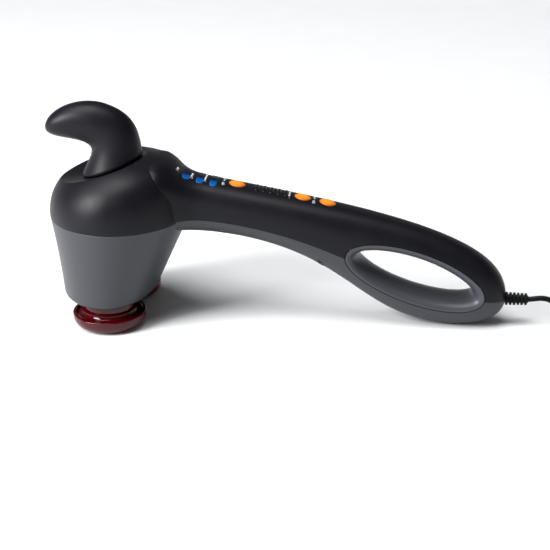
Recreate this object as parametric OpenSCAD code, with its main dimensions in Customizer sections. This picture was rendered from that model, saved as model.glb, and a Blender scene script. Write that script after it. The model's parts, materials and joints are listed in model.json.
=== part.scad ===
// Two-node percussion massager with a loop handle and a swivel knob.
// Millimetres. +X runs from the head along the handle, +Y is the user's left, +Z is up.
// The part stands on its two nodes and on the loop. The origin is under the middle of the object.
// The modules below are written in head coordinates: X = 0 is the line of the two nodes.

/* [Head] */
// Height of the joint between the grey body and the black dome
parting_h = 94; // [90:0.5:100]
// Height of the underside of the body
floor_h = 22.5; // [21:0.5:24]
// Rise of the dome above the joint
dome_rise = 52.5; // [50:0.5:56]
// Half depth of the head at the joint
head_half_y = 68; // [66:0.5:72]
// Half depth of the body at its underside
foot_half_y = 61.8; // [61:0.1:64]
// Distance from the node line to the left end of the joint
head_nose = 55.6; // [54:0.2:60]
// Distance from the node line to the right end of the joint
head_back = 69; // [67:0.5:72]
// Distance from the node line to the left end of the underside
foot_nose = 46.6; // [45:0.2:50]
// Distance from the node line to the right end of the underside
foot_back = 36.3; // [35.5:0.2:40]
// Thickness of the moulded walls
wall = 2.5; // [2:0.1:3]

/* [Handle] */
// Distance from the node line to the end of the loop
handle_end = 349; // [335:1:370]
// Width of the handle
handle_w = 46.4; // [44:0.2:50]
// Height of the handle's top line where it leaves the dome
deck_h = 135.4; // [133:0.2:138]
// Extra half width where the handle opens out to meet the dome
neck_flare = 17.5; // [14:0.5:18]
// Extra height of the handle's top where it runs up onto the dome
neck_rise = 8.4; // [6:0.2:10]

/* [Loop] */
// Half length of the loop opening at the side faces
loop_a = 63.5; // [60:0.5:66]
// Half height of the loop opening at the side faces
loop_b = 23.5; // [22:0.25:25]
// Half length of the loop opening in the middle
waist_a = 52.7; // [50:0.5:56]
// Half height of the loop opening in the middle
waist_b = 14; // [12:0.25:15]
// Distance from the loop's centre to the end of the handle
loop_back = 80.5; // [79:0.5:84]
// Height of the loop's centre
loop_h = 47.4; // [46.5:0.2:48.5]
// Slope of the loop opening in degrees
loop_tilt = 18.5; // [17:0.5:20]

/* [Nodes] */
// Distance between the two nodes
node_pitch = 69; // [68:0.5:70]
// Radius of a node's disc
node_r = 32.2; // [29:0.1:33]
// Radius of a node's neck
neck_r = 22.5; // [21:0.25:22.75]
// Thickness of a node's disc
node_t = 12.5; // [11:0.5:14]
// Rounding of a node's lower edge
node_round = 9; // [6:0.5:10]
// Angle that the rocker swings each way
rock_angle = 4; // [3:0.25:4.5]

/* [Knob] */
// Lean of the knob's seat towards the nose in degrees
seat_tilt = 17; // [14:0.5:20]
// Distance from the node line to the middle of the seat, towards the nose
seat_in = 4.9; // [3:0.1:7]
// Height of the rim of the seat above the joint, at its middle
seat_rise = 41; // [40:0.25:43]
// Radius of the rim of the seat
seat_r = 36.7; // [35:0.1:38]
// Depth of the seat
seat_depth = 5; // [4:0.25:6]
// Radius of the spindle that carries the knob
spindle_r = 6; // [5:0.25:7]

/* [Buttons] */
// Diameter of a button
button_d = 15; // [13:0.25:15.5]
// Travel of a button
button_travel = 0.6; // [0.4:0.1:0.7]
// Height of a button above the handle's top line
button_proud = 1.3; // [1:0.1:1.8]
// Length of a light window across the handle
window_l = 27; // [22:0.5:28]
// Width of a light window
window_w = 6.6; // [5:0.2:7]

/* [Drive] */
// Height of the motor's axis
motor_h = 88; // [87:0.5:90]
// Radius of the motor's can
motor_r = 18.25; // [17.5:0.25:18.5]
// Length of the motor's can
motor_l = 50; // [46:0.5:52]
// Height of the rocker's pivot pin
pivot_h = 40; // [39:0.5:41]
// Radius of the pivot pin
pivot_r = 2.5; // [2:0.25:3]
// Radius of the motor's shaft
shaft_r = 1.6; // [1.5:0.05:2]

/* [Cord] */
// Diameter of the cord
cord_d = 4.8; // [4.5:0.1:5]
// Radius of the strain relief over its ribs
relief_r = 5.85; // [5.5:0.05:6.5]
// Length of the ribbed part of the strain relief
relief_l = 20; // [18:0.5:24]
// Radius of a plug pin
pin_r = 2; // [1.9:0.05:2.2]
// Length of a plug pin
pin_l = 19; // [18:0.5:20]
// Distance between the plug pins
pin_pitch = 19; // [18:0.5:20]

/* [Hidden] */

black = [0.13, 0.13, 0.15];
grey = [0.42, 0.43, 0.45];
red = [0.55, 0.05, 0.08];
orange = [0.96, 0.6, 0.2];
steel = [0.7, 0.71, 0.73];

// Clearances
seam = 0.15;
run_fit = 0.06;
body_gap = 0.3;

// Squareness of the outlines: 2 is an ellipse, more is boxier
head_sq = 1.9;
foot_sq = 1.95;
dome_sq = 2.55;

head_sides = 48;
dome_lean = 12.5;
widest_x = 5.9;
foot_round = 3;

// ---------------------------------------------------------------- helpers

function lerp(a, b, t) = a + (b - a) * t;
function signed_pow(v, e) = sign(v) * pow(abs(v), e);

// Point on a cubic curve with control points p
function bez(p, t) =
  pow(1 - t, 3) * p[0] + 3 * pow(1 - t, 2) * t * p[1] + 3 * (1 - t) * t * t * p[2] + pow(t, 3) * p[3];

// Point on two cubic curves in a row, t from 0 to 2
function bez2(p, q, t) = t < 1 ? bez(p, t) : bez(q, t - 1);

// Position at which curve p reaches x; x grows along the curve
function reach(p, x, lo = 0, hi = 1, n = 20) =
  n == 0 ? (lo + hi) / 2 :
  let (m = (lo + hi) / 2) bez(p, m)[0] < x ? reach(p, x, m, hi, n - 1) : reach(p, x, lo, m, n - 1);

// Height of curve p above x
function height_at(p, x) = bez(p, reach(p, x))[1];

// Point of a squared oval at angle a, as fractions of its half axes
function oval_pt(a, sq) = [signed_pow(cos(a), 2 / sq), signed_pow(sin(a), 2 / sq)];

function mean(ring) = [for (k = [0:2]) [for (p = ring) p[k]] * [for (p = ring) 1] / len(ring)];

// Closed skin over a list of rings with the same number of points, ends closed by fans
module skin(rings) {
  n = len(rings[0]);
  m = len(rings);
  pts = [for (r = rings) each r, mean(rings[0]), mean(rings[m - 1])];
  sides = [for (k = [0:m - 2], i = [0:n - 1])
    let (j = (i + 1) % n, a = k * n, b = a + n)
    each [[a + i, b + i, b + j], [a + i, b + j, a + j]]];
  first = [for (i = [0:n - 1]) [m * n, i, (i + 1) % n]];
  last = [for (i = [0:n - 1]) [m * n + 1, (m - 1) * n + (i + 1) % n, (m - 1) * n + i]];
  polyhedron(pts, concat(sides, first, last));
}

function unit(v) = v / norm(v);

// Tube of radius r along the points p
module sweep(p, r, sides) skin([for (k = [0:len(p) - 1])
  let (
    d = unit(p[min(k + 1, len(p) - 1)] - p[max(k - 1, 0)]),
    side = unit(cross([0, 0, 1], d)),
    up = cross(d, side)
  )
  [for (i = [0:sides - 1]) let (a = 360 * i / sides) p[k] + r * (cos(a) * side + sin(a) * up)]]);

// Smooth curve through the points p, with n steps between neighbours
function through(p, n) = [
  for (k = [0:len(p) - 2], j = [0:n - 1])
    let (
      t = j / n,
      a = p[max(k - 1, 0)], b = p[k], c = p[k + 1], e = p[min(k + 2, len(p) - 1)]
    )
    0.5 * (2 * b + (c - a) * t + (2 * a - 5 * b + 4 * c - e) * t * t + (3 * b - a - 3 * c + e) * pow(t, 3)),
  p[len(p) - 1]
];

// The same for rings that close on themselves, such as a frame round an opening
module skin_loop(rings) {
  n = len(rings[0]);
  m = len(rings);
  polyhedron([for (r = rings) each r], [for (k = [0:m - 1], i = [0:n - 1])
    let (j = (i + 1) % n, a = k * n, b = ((k + 1) % m) * n)
    each [[a + i, b + i, b + j], [a + i, b + j, a + j]]]);
}

// From head coordinates to the part's own origin
module place() translate([-mid_x, 0, 0]) children();

module disc_x(x0, x1, r, y = 0, z = 0)
  translate([x0, y, z]) rotate([0, 90, 0]) cylinder(h = x1 - x0, r = r, $fn = 64);

module block(lo, hi) translate(lo) cube(hi - lo);

// ---------------------------------------------------------------- head

foot_mid = foot_back - foot_nose;

// Level ring of the body: u = 0 at the underside, 1 at the joint; inset shrinks it
function body_ring(u, z, inset) =
  let (
    c = lerp(1, widest_x, u),
    left = lerp(foot_nose, head_nose, 0.55 * u + 0.45 * u * u) + c,
    right = lerp(foot_back, head_back, u) - c,
    half = lerp(foot_half_y, head_half_y, u),
    sq = lerp(foot_sq, head_sq, u)
  )
  [for (i = [0:head_sides - 1])
    let (a = 360 * i / head_sides, p = oval_pt(a, sq))
    [c + (p[0] < 0 ? left - inset : right - inset) * p[0], (half - inset) * p[1], z]];

function body_u(z) = (z - floor_h) / (parting_h - floor_h);

// Level ring of the dome: a from 0 at the joint to 90 at the top
function dome_ring(a, inset) =
  let (
    up = pow(sin(a), 2 / dome_sq),
    out = pow(max(cos(a), 0), 2 / dome_sq),
    c = widest_x + dome_lean * up * up,
    left = head_nose + widest_x - inset,
    right = head_back - widest_x - inset
  )
  [for (i = [0:head_sides - 1])
    let (p = oval_pt(360 * i / head_sides, head_sq))
    [c + (p[0] < 0 ? left : right) * out * p[0], (head_half_y - inset) * out * p[1],
      parting_h + (dome_rise - inset) * up]];

module body_solid() skin([
  body_ring(0, floor_h, foot_round),
  body_ring(0, floor_h + foot_round * 0.3, foot_round * 0.3),
  body_ring(body_u(floor_h + foot_round), floor_h + foot_round, 0),
  for (u = [0.3, 0.65, 1]) body_ring(u, lerp(floor_h, parting_h, u), 0)
]);

module body_hollow() skin([
  body_ring(body_u(floor_h + wall), floor_h + wall, wall),
  body_ring(0.5, lerp(floor_h, parting_h, 0.5), wall),
  body_ring(1, parting_h + 1, wall)
]);

dome_steps = [0, 8, 17, 27, 37, 47, 57, 67, 77, 86];

module dome_solid() skin([for (a = dome_steps) dome_ring(a, 0)]);

module dome_hollow() skin(concat(
  [[for (p = dome_ring(0, wall)) p - [0, 0, 1]]],
  [for (a = [0, 17, 34, 51, 68, 84]) dome_ring(a, wall)]
));

// ---------------------------------------------------------------- seat of the knob

seat_h = parting_h + seat_rise;
bowl_r = (seat_r * seat_r + seat_depth * seat_depth) / (2 * seat_depth);
seat_floor = seat_depth + wall + 0.5;

module on_seat() translate([-seat_in, 0, seat_h]) rotate([0, -seat_tilt, 0]) children();

module bowl(gap) on_seat() translate([0, 0, bowl_r - seat_depth]) sphere(r = bowl_r - gap, $fn = 96);

port_h = parting_h + 14;
port_r = 8;

// Height of the dome's outside over a point of the plan
function in_dome(a, x, y) =
  let (
    up = pow(sin(a), 2 / dome_sq),
    out = pow(cos(a), 2 / dome_sq),
    c = widest_x + dome_lean * up * up,
    reach_x = x < c ? head_nose + widest_x : head_back - widest_x
  )
  pow(abs(x - c) / (reach_x * out), head_sq) + pow(abs(y) / (head_half_y * out), head_sq) < 1;

function roof_z(x, y, lo = 0, hi = 89, n = 16) =
  n == 0 ? parting_h + dome_rise * pow(sin(lo), 2 / dome_sq) :
  let (m = (lo + hi) / 2) in_dome(m, x, y) ? roof_z(x, y, m, hi, n - 1) : roof_z(x, y, lo, m, n - 1);

// Screws that hold the dome to the body, in deep wells from below
head_screw = [[-30, 24], [28, 24]];
head_d = 5.8;
head_t = 2;
screw_r = 1.5;
post_wall = 1.4;
post_r = head_d / 2 + 0.2 + post_wall;
well_h = parting_h - 14;
thread_l = 10;

module at_head_screws() for (p = head_screw, side = [-1, 1]) translate([p[0], side * p[1], 0]) children();

// Top of a post under the dome: in the seat of the knob, or in the dome's wall
function post_top(x, y) =
  norm([x + seat_in, y]) < seat_r
  ? seat_h + (x + seat_in) * tan(seat_tilt) - (seat_floor - 1.5) / cos(seat_tilt)
  : roof_z(x, y) - 0.8 * wall;

module dome_posts() for (p = head_screw, side = [-1, 1])
  translate([p[0], side * p[1], parting_h])
    cylinder(h = post_top(p[0], p[1]) - parting_h, r = post_r, $fn = 48);

module head_dome() color(black) place() difference() {
  union() {
    difference() {
      dome_solid();
      difference() {
        dome_hollow();
        on_seat() translate([0, 0, -seat_floor]) cylinder(h = 40, r = seat_r + wall, $fn = 96);
      }
    }
    dome_posts();
  }
  bowl(0);
  on_seat() translate([0, 0, -30]) cylinder(h = 60, r = spindle_r + run_fit, $fn = 64);
  disc_x(40, 90, port_r, 0, port_h);
  on_top(window_x[0]) slot(window_l + 2 * body_gap, window_w + 2 * body_gap, 16, -7);
  at_head_screws() translate([0, 0, parting_h - 1]) cylinder(h = thread_l + 2, r = screw_r, $fn = 24);
}

// ---------------------------------------------------------------- body

boss_x = [-30, 28];
boss_y = 11;
boss_r = 4;
frame_h = motor_h - motor_r - 7.75;
frame_t = 3;
hole_r = neck_r + 2.3;

module at_bosses() for (x = boss_x, y = [-boss_y, boss_y]) translate([x, y, 0]) children();

module head_body() color(grey) place() difference() {
  union() {
    difference() {
      body_solid();
      body_hollow();
    }
    translate([0, 0, floor_h + wall / 2]) {
      at_bosses() cylinder(h = frame_h - floor_h - wall / 2, r = boss_r, $fn = 48);
      at_head_screws() cylinder(h = parting_h - floor_h - wall / 2, r = post_r, $fn = 48);
    }
  }
  for (side = [-1, 1]) translate([0, side * node_pitch / 2, floor_h - 5])
    cylinder(h = 20, r = hole_r, $fn = 96);
  at_bosses() translate([0, 0, frame_h - thread_l]) cylinder(h = 20, r = screw_r, $fn = 24);
  at_head_screws() {
    translate([0, 0, floor_h - 1]) cylinder(h = well_h - floor_h + 1, d = head_d + 0.4, $fn = 48);
    translate([0, 0, well_h - 1]) cylinder(h = 20, r = screw_r + 0.1, $fn = 24);
  }
}

module panel_screw(seat, end) {
  translate([0, 0, seat - head_t]) cylinder(h = head_t, d = head_d, $fn = 48);
  translate([0, 0, seat - 0.1]) cylinder(h = end - seat + 0.1, r = screw_r, $fn = 24);
}

// ---------------------------------------------------------------- handle

neck_x = 34;
top_curve = [[neck_x, deck_h], [186.5, deck_h - 27.4], [handle_end, 90.7], [handle_end, 26]];
touch_x = handle_end - 44.4;
under_curve = [[50, parting_h - 13], [215.4, parting_h - 11], [touch_x - 98, 0], [touch_x, 0]];
heel_curve = [[touch_x, 0], [touch_x + 29, 0], [handle_end, 11], [handle_end, 26]];

// Joint between cover and base, from the dome to the loop
joint_curve = [[48, parting_h + 0.8], [95, parting_h + 4], [150, parting_h - 5],
  [handle_end - loop_back - 60.7, loop_h + 16.7]];

// The lower line falls behind the upper one at first, and both meet at the end
function under_t(t) = 0.85 * t + 0.5 * t * t + 0.65 * pow(t, 6);

// Half width of the handle at x, and squareness of its upper and lower half
function handle_half(x) = handle_w / 2 + neck_flare * exp(-pow((x - neck_x - 13) / 18, 2));
function upper_sq(x) = 2.6 + 2.7 * min(1, exp((52 - x) / 14));
function lower_sq(x) = 2.5 + 0.4 * min(1, exp((70 - x) / 20));

// Point of the top line: the curve with the rise onto the dome
function top_pt(t) = let (p = bez(top_curve, t)) p + [0, neck_rise * exp(-pow((p[0] - 41) / 17, 2))];

function handle_ring(t, inset, sides) =
  let (
    top = top_pt(t),
    low = bez2(under_curve, heel_curve, under_t(t)),
    mid = (top + low) / 2,
    up = (top - low) / norm(top - low),
    tall = norm(top - low) / 2 - inset,
    closing = 1 - pow(max(t, 0), 10)
  )
  [for (i = [0:sides - 1])
    let (
      a = 360 * i / sides,
      p = oval_pt(a, a < 180 ? upper_sq(mid[0]) : lower_sq(mid[0])),
      at = mid + up * tall * p[1]
    )
    [at[0], (handle_half(at[0]) * closing - inset) * p[0], at[1]]];

// Closer sections where the neck opens out and where the loop ends
handle_steps = concat(
  [for (k = [0:6]) 0.018 * k],
  [for (k = [1:13]) lerp(0.108, 0.8, k / 13)],
  [for (k = [1:8]) lerp(0.8, 0.997, sin(90 * k / 8))]
);

module handle_solid() skin([for (t = handle_steps) handle_ring(t, 0, 28)]);

module handle_hollow() skin([for (t = concat(
  [-0.03, 0.03, 0.075, 0.13], [for (k = [1:13]) lerp(0.13, 0.9, k / 13)], [0.93, 0.955]
)) handle_ring(t, wall, 20)]);

loop_x = handle_end - loop_back;

// Opening of the loop at blend f: 0 at the waist in the middle, 1 at the side faces
function loop_ring(f, y, grow, sides) =
  let (a = lerp(waist_a, loop_a, f) + grow, b = lerp(waist_b, loop_b, f) + grow, sq = lerp(1.85, 2.05, f))
  [for (i = [0:sides - 1])
    let (p = oval_pt(360 * i / sides, sq), u = a * p[0], v = b * p[1])
    [loop_x + u * cos(loop_tilt) + v * sin(loop_tilt), y, loop_h - u * sin(loop_tilt) + v * cos(loop_tilt)]];

module loop_cut(grow)
  rotate([90, 0, 0]) linear_extrude(handle_w + 10, center = true)
    polygon([for (p = loop_ring(1, 0, grow, 96)) [p[0], p[2]]]);

relief_h = 23.6;

// Everything on one side of the joint between cover and base; shift moves the joint up
module joint_side(upper, shift) {
  line = concat(
    [[20, joint_curve[0][1]]],
    [for (k = [0:12]) bez(joint_curve, k / 12)],
    [[loop_x + 60.5, loop_h - 19.9], [handle_end + 20, relief_h]]
  );
  far = upper ? parting_h + 80 : -40;
  rotate([90, 0, 0]) linear_extrude(200, center = true)
    polygon(concat([for (p = line) p + [0, shift]], [[handle_end + 20, far], [20, far]]));
}

// Frame on the handle's top line above x: local +Z points out of the cover
module on_top(x) {
  t = reach(top_curve, x);
  p = top_pt(t);
  d = top_pt(t + 0.001) - top_pt(t - 0.001);
  translate([p[0], 0, p[1]]) rotate([0, atan2(-d[1], d[0]), 0]) children();
}

button_x = [111.3, 168.7, 190.4];
window_x = [67.5, 79.3, 91];
level_x = [128.5, 134.9, 141.3, 147.7, 154.1];
level_w = 3.2;
level_l = 15;
module slot(l, w, h, z) translate([0, 0, z]) linear_extrude(h) union() {
  for (side = [-1, 1]) translate([0, side * (l - w) / 2]) circle(d = w, $fn = 32);
  square([w, l - w], center = true);
}

// Screws that hold the base to the cover
side_screw_x = [100, 186];
side_screw_y = 15;

// Height of the screws' seats above the lower line, more where the base is rounder
function side_seat(x) = height_at(under_curve, x) + (x < 150 ? 8 : 13);

module side_bosses(upper) for (x = side_screw_x, y = [-side_screw_y, side_screw_y]) {
  low = upper ? height_at(joint_curve, x) + seam / 2 : height_at(under_curve, x) + 7;
  high = upper ? height_at(top_curve, x) - 7 : height_at(joint_curve, x) - seam / 2;
  translate([x, y, low]) cylinder(h = high - low, r = post_r, $fn = 48);
}

module side_bores(upper) for (x = side_screw_x, y = [-side_screw_y, side_screw_y]) {
  seat = side_seat(x);
  translate([x, y, 0])
    if (upper) translate([0, 0, seat])
      cylinder(h = height_at(joint_curve, x) + thread_l - seat, r = screw_r, $fn = 24);
    else {
      translate([0, 0, seat - 30]) cylinder(h = 30, d = head_d + 0.4, $fn = 48);
      translate([0, 0, seat - 1]) cylinder(h = 40, r = screw_r + 0.1, $fn = 24);
    }
}

module handle_cover() color(black) place() difference() {
  handle_solid();
  difference() {
    handle_hollow();
    side_bosses(true);
    board_posts();
  }
  joint_side(false, seam / 2);
  loop_cut(seam);
  dome_solid();
  for (x = button_x) on_top(x) translate([0, 0, -8])
    cylinder(h = 16, d = button_d + 2 * body_gap, $fn = 64);
  for (x = window_x) on_top(x) slot(window_l + 2 * seam, window_w + 2 * seam, 16, -8);
  for (x = level_x) on_top(x) slot(level_l + 2 * seam, level_w + 2 * seam, 16, -8);
  board_bores();
  side_bores(true);
  relief_hole();
}

module handle_base() color(grey) place() difference() {
  handle_solid();
  difference() {
    handle_hollow();
    side_bosses(false);
    for (x = supply_pegs) translate([x, 0, height_at(under_curve, x) + 1.2])
      cylinder(h = supply_h - height_at(under_curve, x) - 1.2, r = 3, $fn = 32);
    clamp_posts();
  }
  joint_side(true, -seam / 2);
  loop_cut(seam);
  body_solid();
  dome_solid();
  clamp_bores();
  side_bores(false);
  relief_hole();
}

// The cord's strain relief snaps into this hole from inside
collar_r = 4;
collar_in = 7.4;
module relief_hole() disc_x(handle_end - 12, handle_end + 5, collar_r + seam, 0, relief_h);

// Posts beside the lead, and a rest under it
clamp_x = [handle_end - 13, handle_end - 8];
clamp_y = 6;
clamp_h = relief_h + cord_d / 2 + seam;
clamp_mid = (clamp_x[0] + clamp_x[1]) / 2;

module clamp_posts() {
  for (y = [-clamp_y, clamp_y]) translate([clamp_mid, y, 5]) cylinder(h = clamp_h - 5, r = 3, $fn = 32);
  block([clamp_x[0], -2, 4], [clamp_x[1], 2, relief_h - cord_d / 2]);
}

module clamp_bores() for (y = [-clamp_y, clamp_y])
  translate([clamp_mid, y, clamp_h - 8]) cylinder(h = 20, r = 1.2, $fn = 24);

// ---------------------------------------------------------------- loop liner

liner_t = 2.2;

// Half width of the handle's side face at a point of the side view
function side_t(q, lo = 0.3, hi = 0.999, n = 18) =
  let (
    t = (lo + hi) / 2,
    top = top_pt(t),
    low = bez2(under_curve, heel_curve, under_t(t)),
    d = top - low,
    e = q - low
  )
  n == 0 ? t : d[0] * e[1] - d[1] * e[0] < 0 ? side_t(q, t, hi, n - 1) : side_t(q, lo, t, n - 1);

function side_y(q) =
  let (
    t = side_t(q),
    top = top_pt(t),
    low = bez2(under_curve, heel_curve, under_t(t)),
    mid = (top + low) / 2,
    f = 2 * norm(q - mid) / norm(top - low),
    sq = q[1] > mid[1] ? upper_sq(mid[0]) : lower_sq(mid[0])
  )
  handle_half(q[0]) * (1 - pow(t, 10)) * pow(1 - pow(f, sq), 1 / sq);

liner_sides = 48;
rim_y = [for (p = loop_ring(1, 0, 0, liner_sides)) side_y([p[0], p[2]])];

// Ring of the liner at angle a from the middle of its width; the outer skin lies liner_t further out
function liner_ring(a, outer) =
  let (ring = loop_ring(1 - cos(a), 0, outer ? liner_t * cos(a) : 0, liner_sides))
  [for (i = [0:liner_sides - 1])
    [ring[i][0], (rim_y[i] - (outer ? liner_t : 0)) * sin(a), ring[i][2]]];

module loop_liner() color(grey) place() skin_loop([
  for (a = [-90:22.5:90]) liner_ring(a, false),
  for (a = [90:-22.5:-90]) liner_ring(a, true)
]);

// ---------------------------------------------------------------- knob

knob_tip = [-56.1, seat_h + 34];
knob_back = [[33, seat_h - 1], [22, seat_h + 17], [34, seat_h + 42], [-1.2, seat_h + 54.2]];
knob_crown = [knob_back[3], [-24.6, seat_h + 63], [knob_tip[0], seat_h + 48.8], knob_tip];
knob_heel = [[-27, seat_h - 11], [-21, seat_h + 5], [-11, seat_h + 14.5], [-19.5, seat_h + 20]];
knob_palm = [knob_heel[3], [-30, seat_h + 26.5], [knob_tip[0], seat_h + 23], knob_tip];

// Half depth of the knob: widest at its foot, then the thumb, closing at the tip
function knob_half(t) = (17 + 10 * pow(max(0, 1 - t / 0.45), 2)) * (1 - pow(t, 8));

function knob_ring(t) =
  let (
    a = bez2(knob_back, knob_crown, 2 * t),
    b = bez2(knob_heel, knob_palm, 2 * t),
    mid = (a + b) / 2,
    r = (a - b) / 2
  )
  [for (i = [0:27])
    let (p = oval_pt(360 * i / 28, 2.1))
    [mid[0] + r[0] * p[0], knob_half(t) * p[1], mid[1] + r[1] * p[0]]];

knob_steps = concat([for (k = [0:17]) 0.9 * k / 17], [0.935, 0.965, 0.985, 0.997]);

module hook_knob() color(black) place() difference() {
  intersection() {
    skin([for (t = knob_steps) knob_ring(t)]);
    bowl(body_gap);
  }
  on_seat() translate([0, 0, -seat_depth - 10]) cylinder(h = 22, r = spindle_r, $fn = 64);
}

spindle_low = -(seat_floor + body_gap + 1.5);

module swivel_spindle() color(steel) place() on_seat() difference() {
  translate([0, 0, spindle_low]) cylinder(h = 12 - seat_depth - spindle_low, r = spindle_r, $fn = 64);
  translate([0, 0, spindle_low - 1]) cylinder(h = 12, r = 2, $fn = 32);
}

module swivel_washer() color(steel) place() on_seat() translate([0, 0, spindle_low]) difference() {
  cylinder(h = 1.5, r = spindle_r + 5, $fn = 64);
  translate([0, 0, -1]) cylinder(h = 4, r = spindle_r, $fn = 64);
}

module swivel_screw() color(steel) place() on_seat() union() {
  translate([0, 0, spindle_low - 2.6]) difference() {
    cylinder(h = 2.6, r = spindle_r + 2, $fn = 48);
    translate([0, 0, -1]) cylinder(h = 2.2, r = 1.6, $fn = 24);
  }
  translate([0, 0, spindle_low - 0.1]) cylinder(h = 10, r = 2, $fn = 32);
}

mid_x = (handle_end + knob_tip[0]) / 2;

// ---------------------------------------------------------------- nodes and rocker

cap_wall = 2.5;
cap_top = floor_h + 8.5;
post_low = cap_top - 7;
leg_r = neck_r - cap_wall - 0.05;
board_t = 1.6;

module node_cap(side) color(red, 0.8) place() translate([0, side * node_pitch / 2, 0])
  rotate_extrude($fn = 96) difference() {
    union() {
      intersection() {
        union() {
          square([node_r - node_round, node_t]);
          translate([0, node_round]) square([node_r, node_t]);
          translate([node_r - node_round, node_round]) circle(r = node_round, $fn = 64);
        }
        square([node_r, node_t]);
      }
      square([neck_r, cap_top]);
    }
    translate([0, cap_wall + 1]) square([neck_r - cap_wall, cap_top]);
    translate([neck_r + 3.4, node_t + 2.4]) circle(r = 4.4, $fn = 48);
  }

module node_cap_left() node_cap(1);
module node_cap_right() node_cap(-1);

module led_board(side) color([0.1, 0.35, 0.2]) place() translate([0, side * node_pitch / 2, 0]) union() {
  translate([0, 0, post_low - board_t]) cylinder(h = board_t, r = leg_r - 0.6, $fn = 64);
  for (a = [90:120:330]) rotate(a) translate([9, 0, post_low - board_t - 8]) {
    translate([0, 0, 2.5]) cylinder(h = 5.6, r = 2.5, $fn = 32);
    translate([0, 0, 2.5]) sphere(r = 2.5, $fn = 32);
  }
}

module led_board_left() led_board(1);
module led_board_right() led_board(-1);

fork_x = [-18, -13];
hub_x = [-20.2, 17.2];
hub_r = 8;
crank_throw = (motor_h - pivot_h) * sin(rock_angle);
roller_r = 3;
// Half gap of the fork: it clears the roller at any pair of angles of the rocker and the motor
fork_gap = 2 * crank_throw + roller_r + 0.35;
fork_arm = 3;
cheek_t = 3;
bush_r = pivot_r + 1.5;

module rocker_beam() color([0.25, 0.25, 0.27]) place() difference() {
  union() {
    for (side = [-1, 1]) translate([0, side * node_pitch / 2, post_low])
      cylinder(h = pivot_h + 5 - post_low, r = leg_r, $fn = 64);
    block([-9, -node_pitch / 2, pivot_h - 5], [9, node_pitch / 2, pivot_h + 5]);
    disc_x(hub_x[0], hub_x[1], hub_r, 0, pivot_h);
    block([fork_x[0], -fork_gap - fork_arm, pivot_h], [fork_x[1], fork_gap + fork_arm, motor_h + 12]);
  }
  block([fork_x[0] - 1, -fork_gap, pivot_h + 14], [fork_x[1] + 1, fork_gap, motor_h + 13]);
  disc_x(hub_x[0] - 1, hub_x[1] + 1, pivot_r + run_fit, 0, pivot_h);
  for (side = [-1, 1]) translate([0, side * node_pitch / 2, pivot_h - 6])
    cylinder(h = 12, r = leg_r - 9, $fn = 48);
}

// ---------------------------------------------------------------- drive

plate_x = [-4, -1];
can_x = [plate_x[1], plate_x[1] + motor_l];
saddle_x = [can_x[1] - 15, can_x[1] - 9];
cheek_x = [hub_x[0] - body_gap - cheek_t, hub_x[1] + body_gap];

module drive_frame() color([0.6, 0.61, 0.62]) place() difference() {
  union() {
    block([boss_x[0] - 6, -boss_y - 7, frame_h], [saddle_x[1] + 2, boss_y + 7, frame_h + frame_t]);
    for (x = cheek_x) block([x, -8, pivot_h - 7], [x + cheek_t, 8, frame_h + 1]);
    block([plate_x[0], -motor_r, frame_h], [plate_x[1], motor_r, motor_h]);
    disc_x(plate_x[0], plate_x[1], motor_r, 0, motor_h);
    block([saddle_x[0], -motor_r + 2, frame_h], [saddle_x[1], motor_r - 2, motor_h - 8]);
  }
  block([fork_x[0] - 2.5, -fork_gap - fork_arm - 2, frame_h - 1],
    [fork_x[1] + 2.5, fork_gap + fork_arm + 2, frame_h + frame_t + 1]);
  for (x = cheek_x) disc_x(x - 1, x + cheek_t + 1, bush_r, 0, pivot_h);
  disc_x(plate_x[0] - 1, plate_x[1] + 1, 6.3, 0, motor_h);
  disc_x(saddle_x[0] - 1, saddle_x[1] + 1, motor_r + 0.05, 0, motor_h);
  for (y = [-12, 12]) disc_x(plate_x[0] - 1, plate_x[1] + 1, screw_r, y, motor_h);
  at_bosses() translate([0, 0, frame_h - 1]) cylinder(h = 10, r = screw_r, $fn = 24);
}

module frame_screws() color(steel) place() at_bosses() {
  translate([0, 0, frame_h + frame_t]) cylinder(h = 2, r = 2.8, $fn = 32);
  translate([0, 0, frame_h - 8]) cylinder(h = 8 + frame_t + 0.1, r = screw_r, $fn = 24);
}

pin_x = [cheek_x[0] - 1, cheek_x[1] + cheek_t + 1];

module pivot_pin() color(steel) place() disc_x(pin_x[0], pin_x[1], pivot_r, 0, pivot_h);

module pivot_bushes() color([0.75, 0.6, 0.35]) place() for (x = cheek_x) difference() {
  disc_x(x, x + cheek_t, bush_r, 0, pivot_h);
  disc_x(x - 1, x + cheek_t + 1, pivot_r, 0, pivot_h);
}

can_wall = 1.5;
motor_back = can_x[1] + 3;

module motor_can() color(steel) place() difference() {
  union() {
    disc_x(can_x[0], can_x[1], motor_r, 0, motor_h);
    disc_x(plate_x[0] + 0.4, can_x[0] + 0.1, 6, 0, motor_h);
  }
  disc_x(can_x[0] + can_wall, can_x[1] + 1, motor_r - can_wall, 0, motor_h);
  disc_x(plate_x[0] - 1, can_x[1], shaft_r + run_fit, 0, motor_h);
  for (y = [-12, 12]) disc_x(can_x[0] - 1, can_x[0] + can_wall + 1, screw_r, y, motor_h);
}

module motor_end_cap() color(black) place() difference() {
  union() {
    disc_x(can_x[1], motor_back, motor_r, 0, motor_h);
    disc_x(can_x[1] - 3, can_x[1] + 0.1, motor_r - can_wall - 0.05, 0, motor_h);
    disc_x(motor_back - 0.1, motor_back + 2, 5, 0, motor_h);
  }
  disc_x(can_x[1] - 4, can_x[1] + 4, shaft_r + run_fit, 0, motor_h);
}

magnet_t = 3.5;

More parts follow.
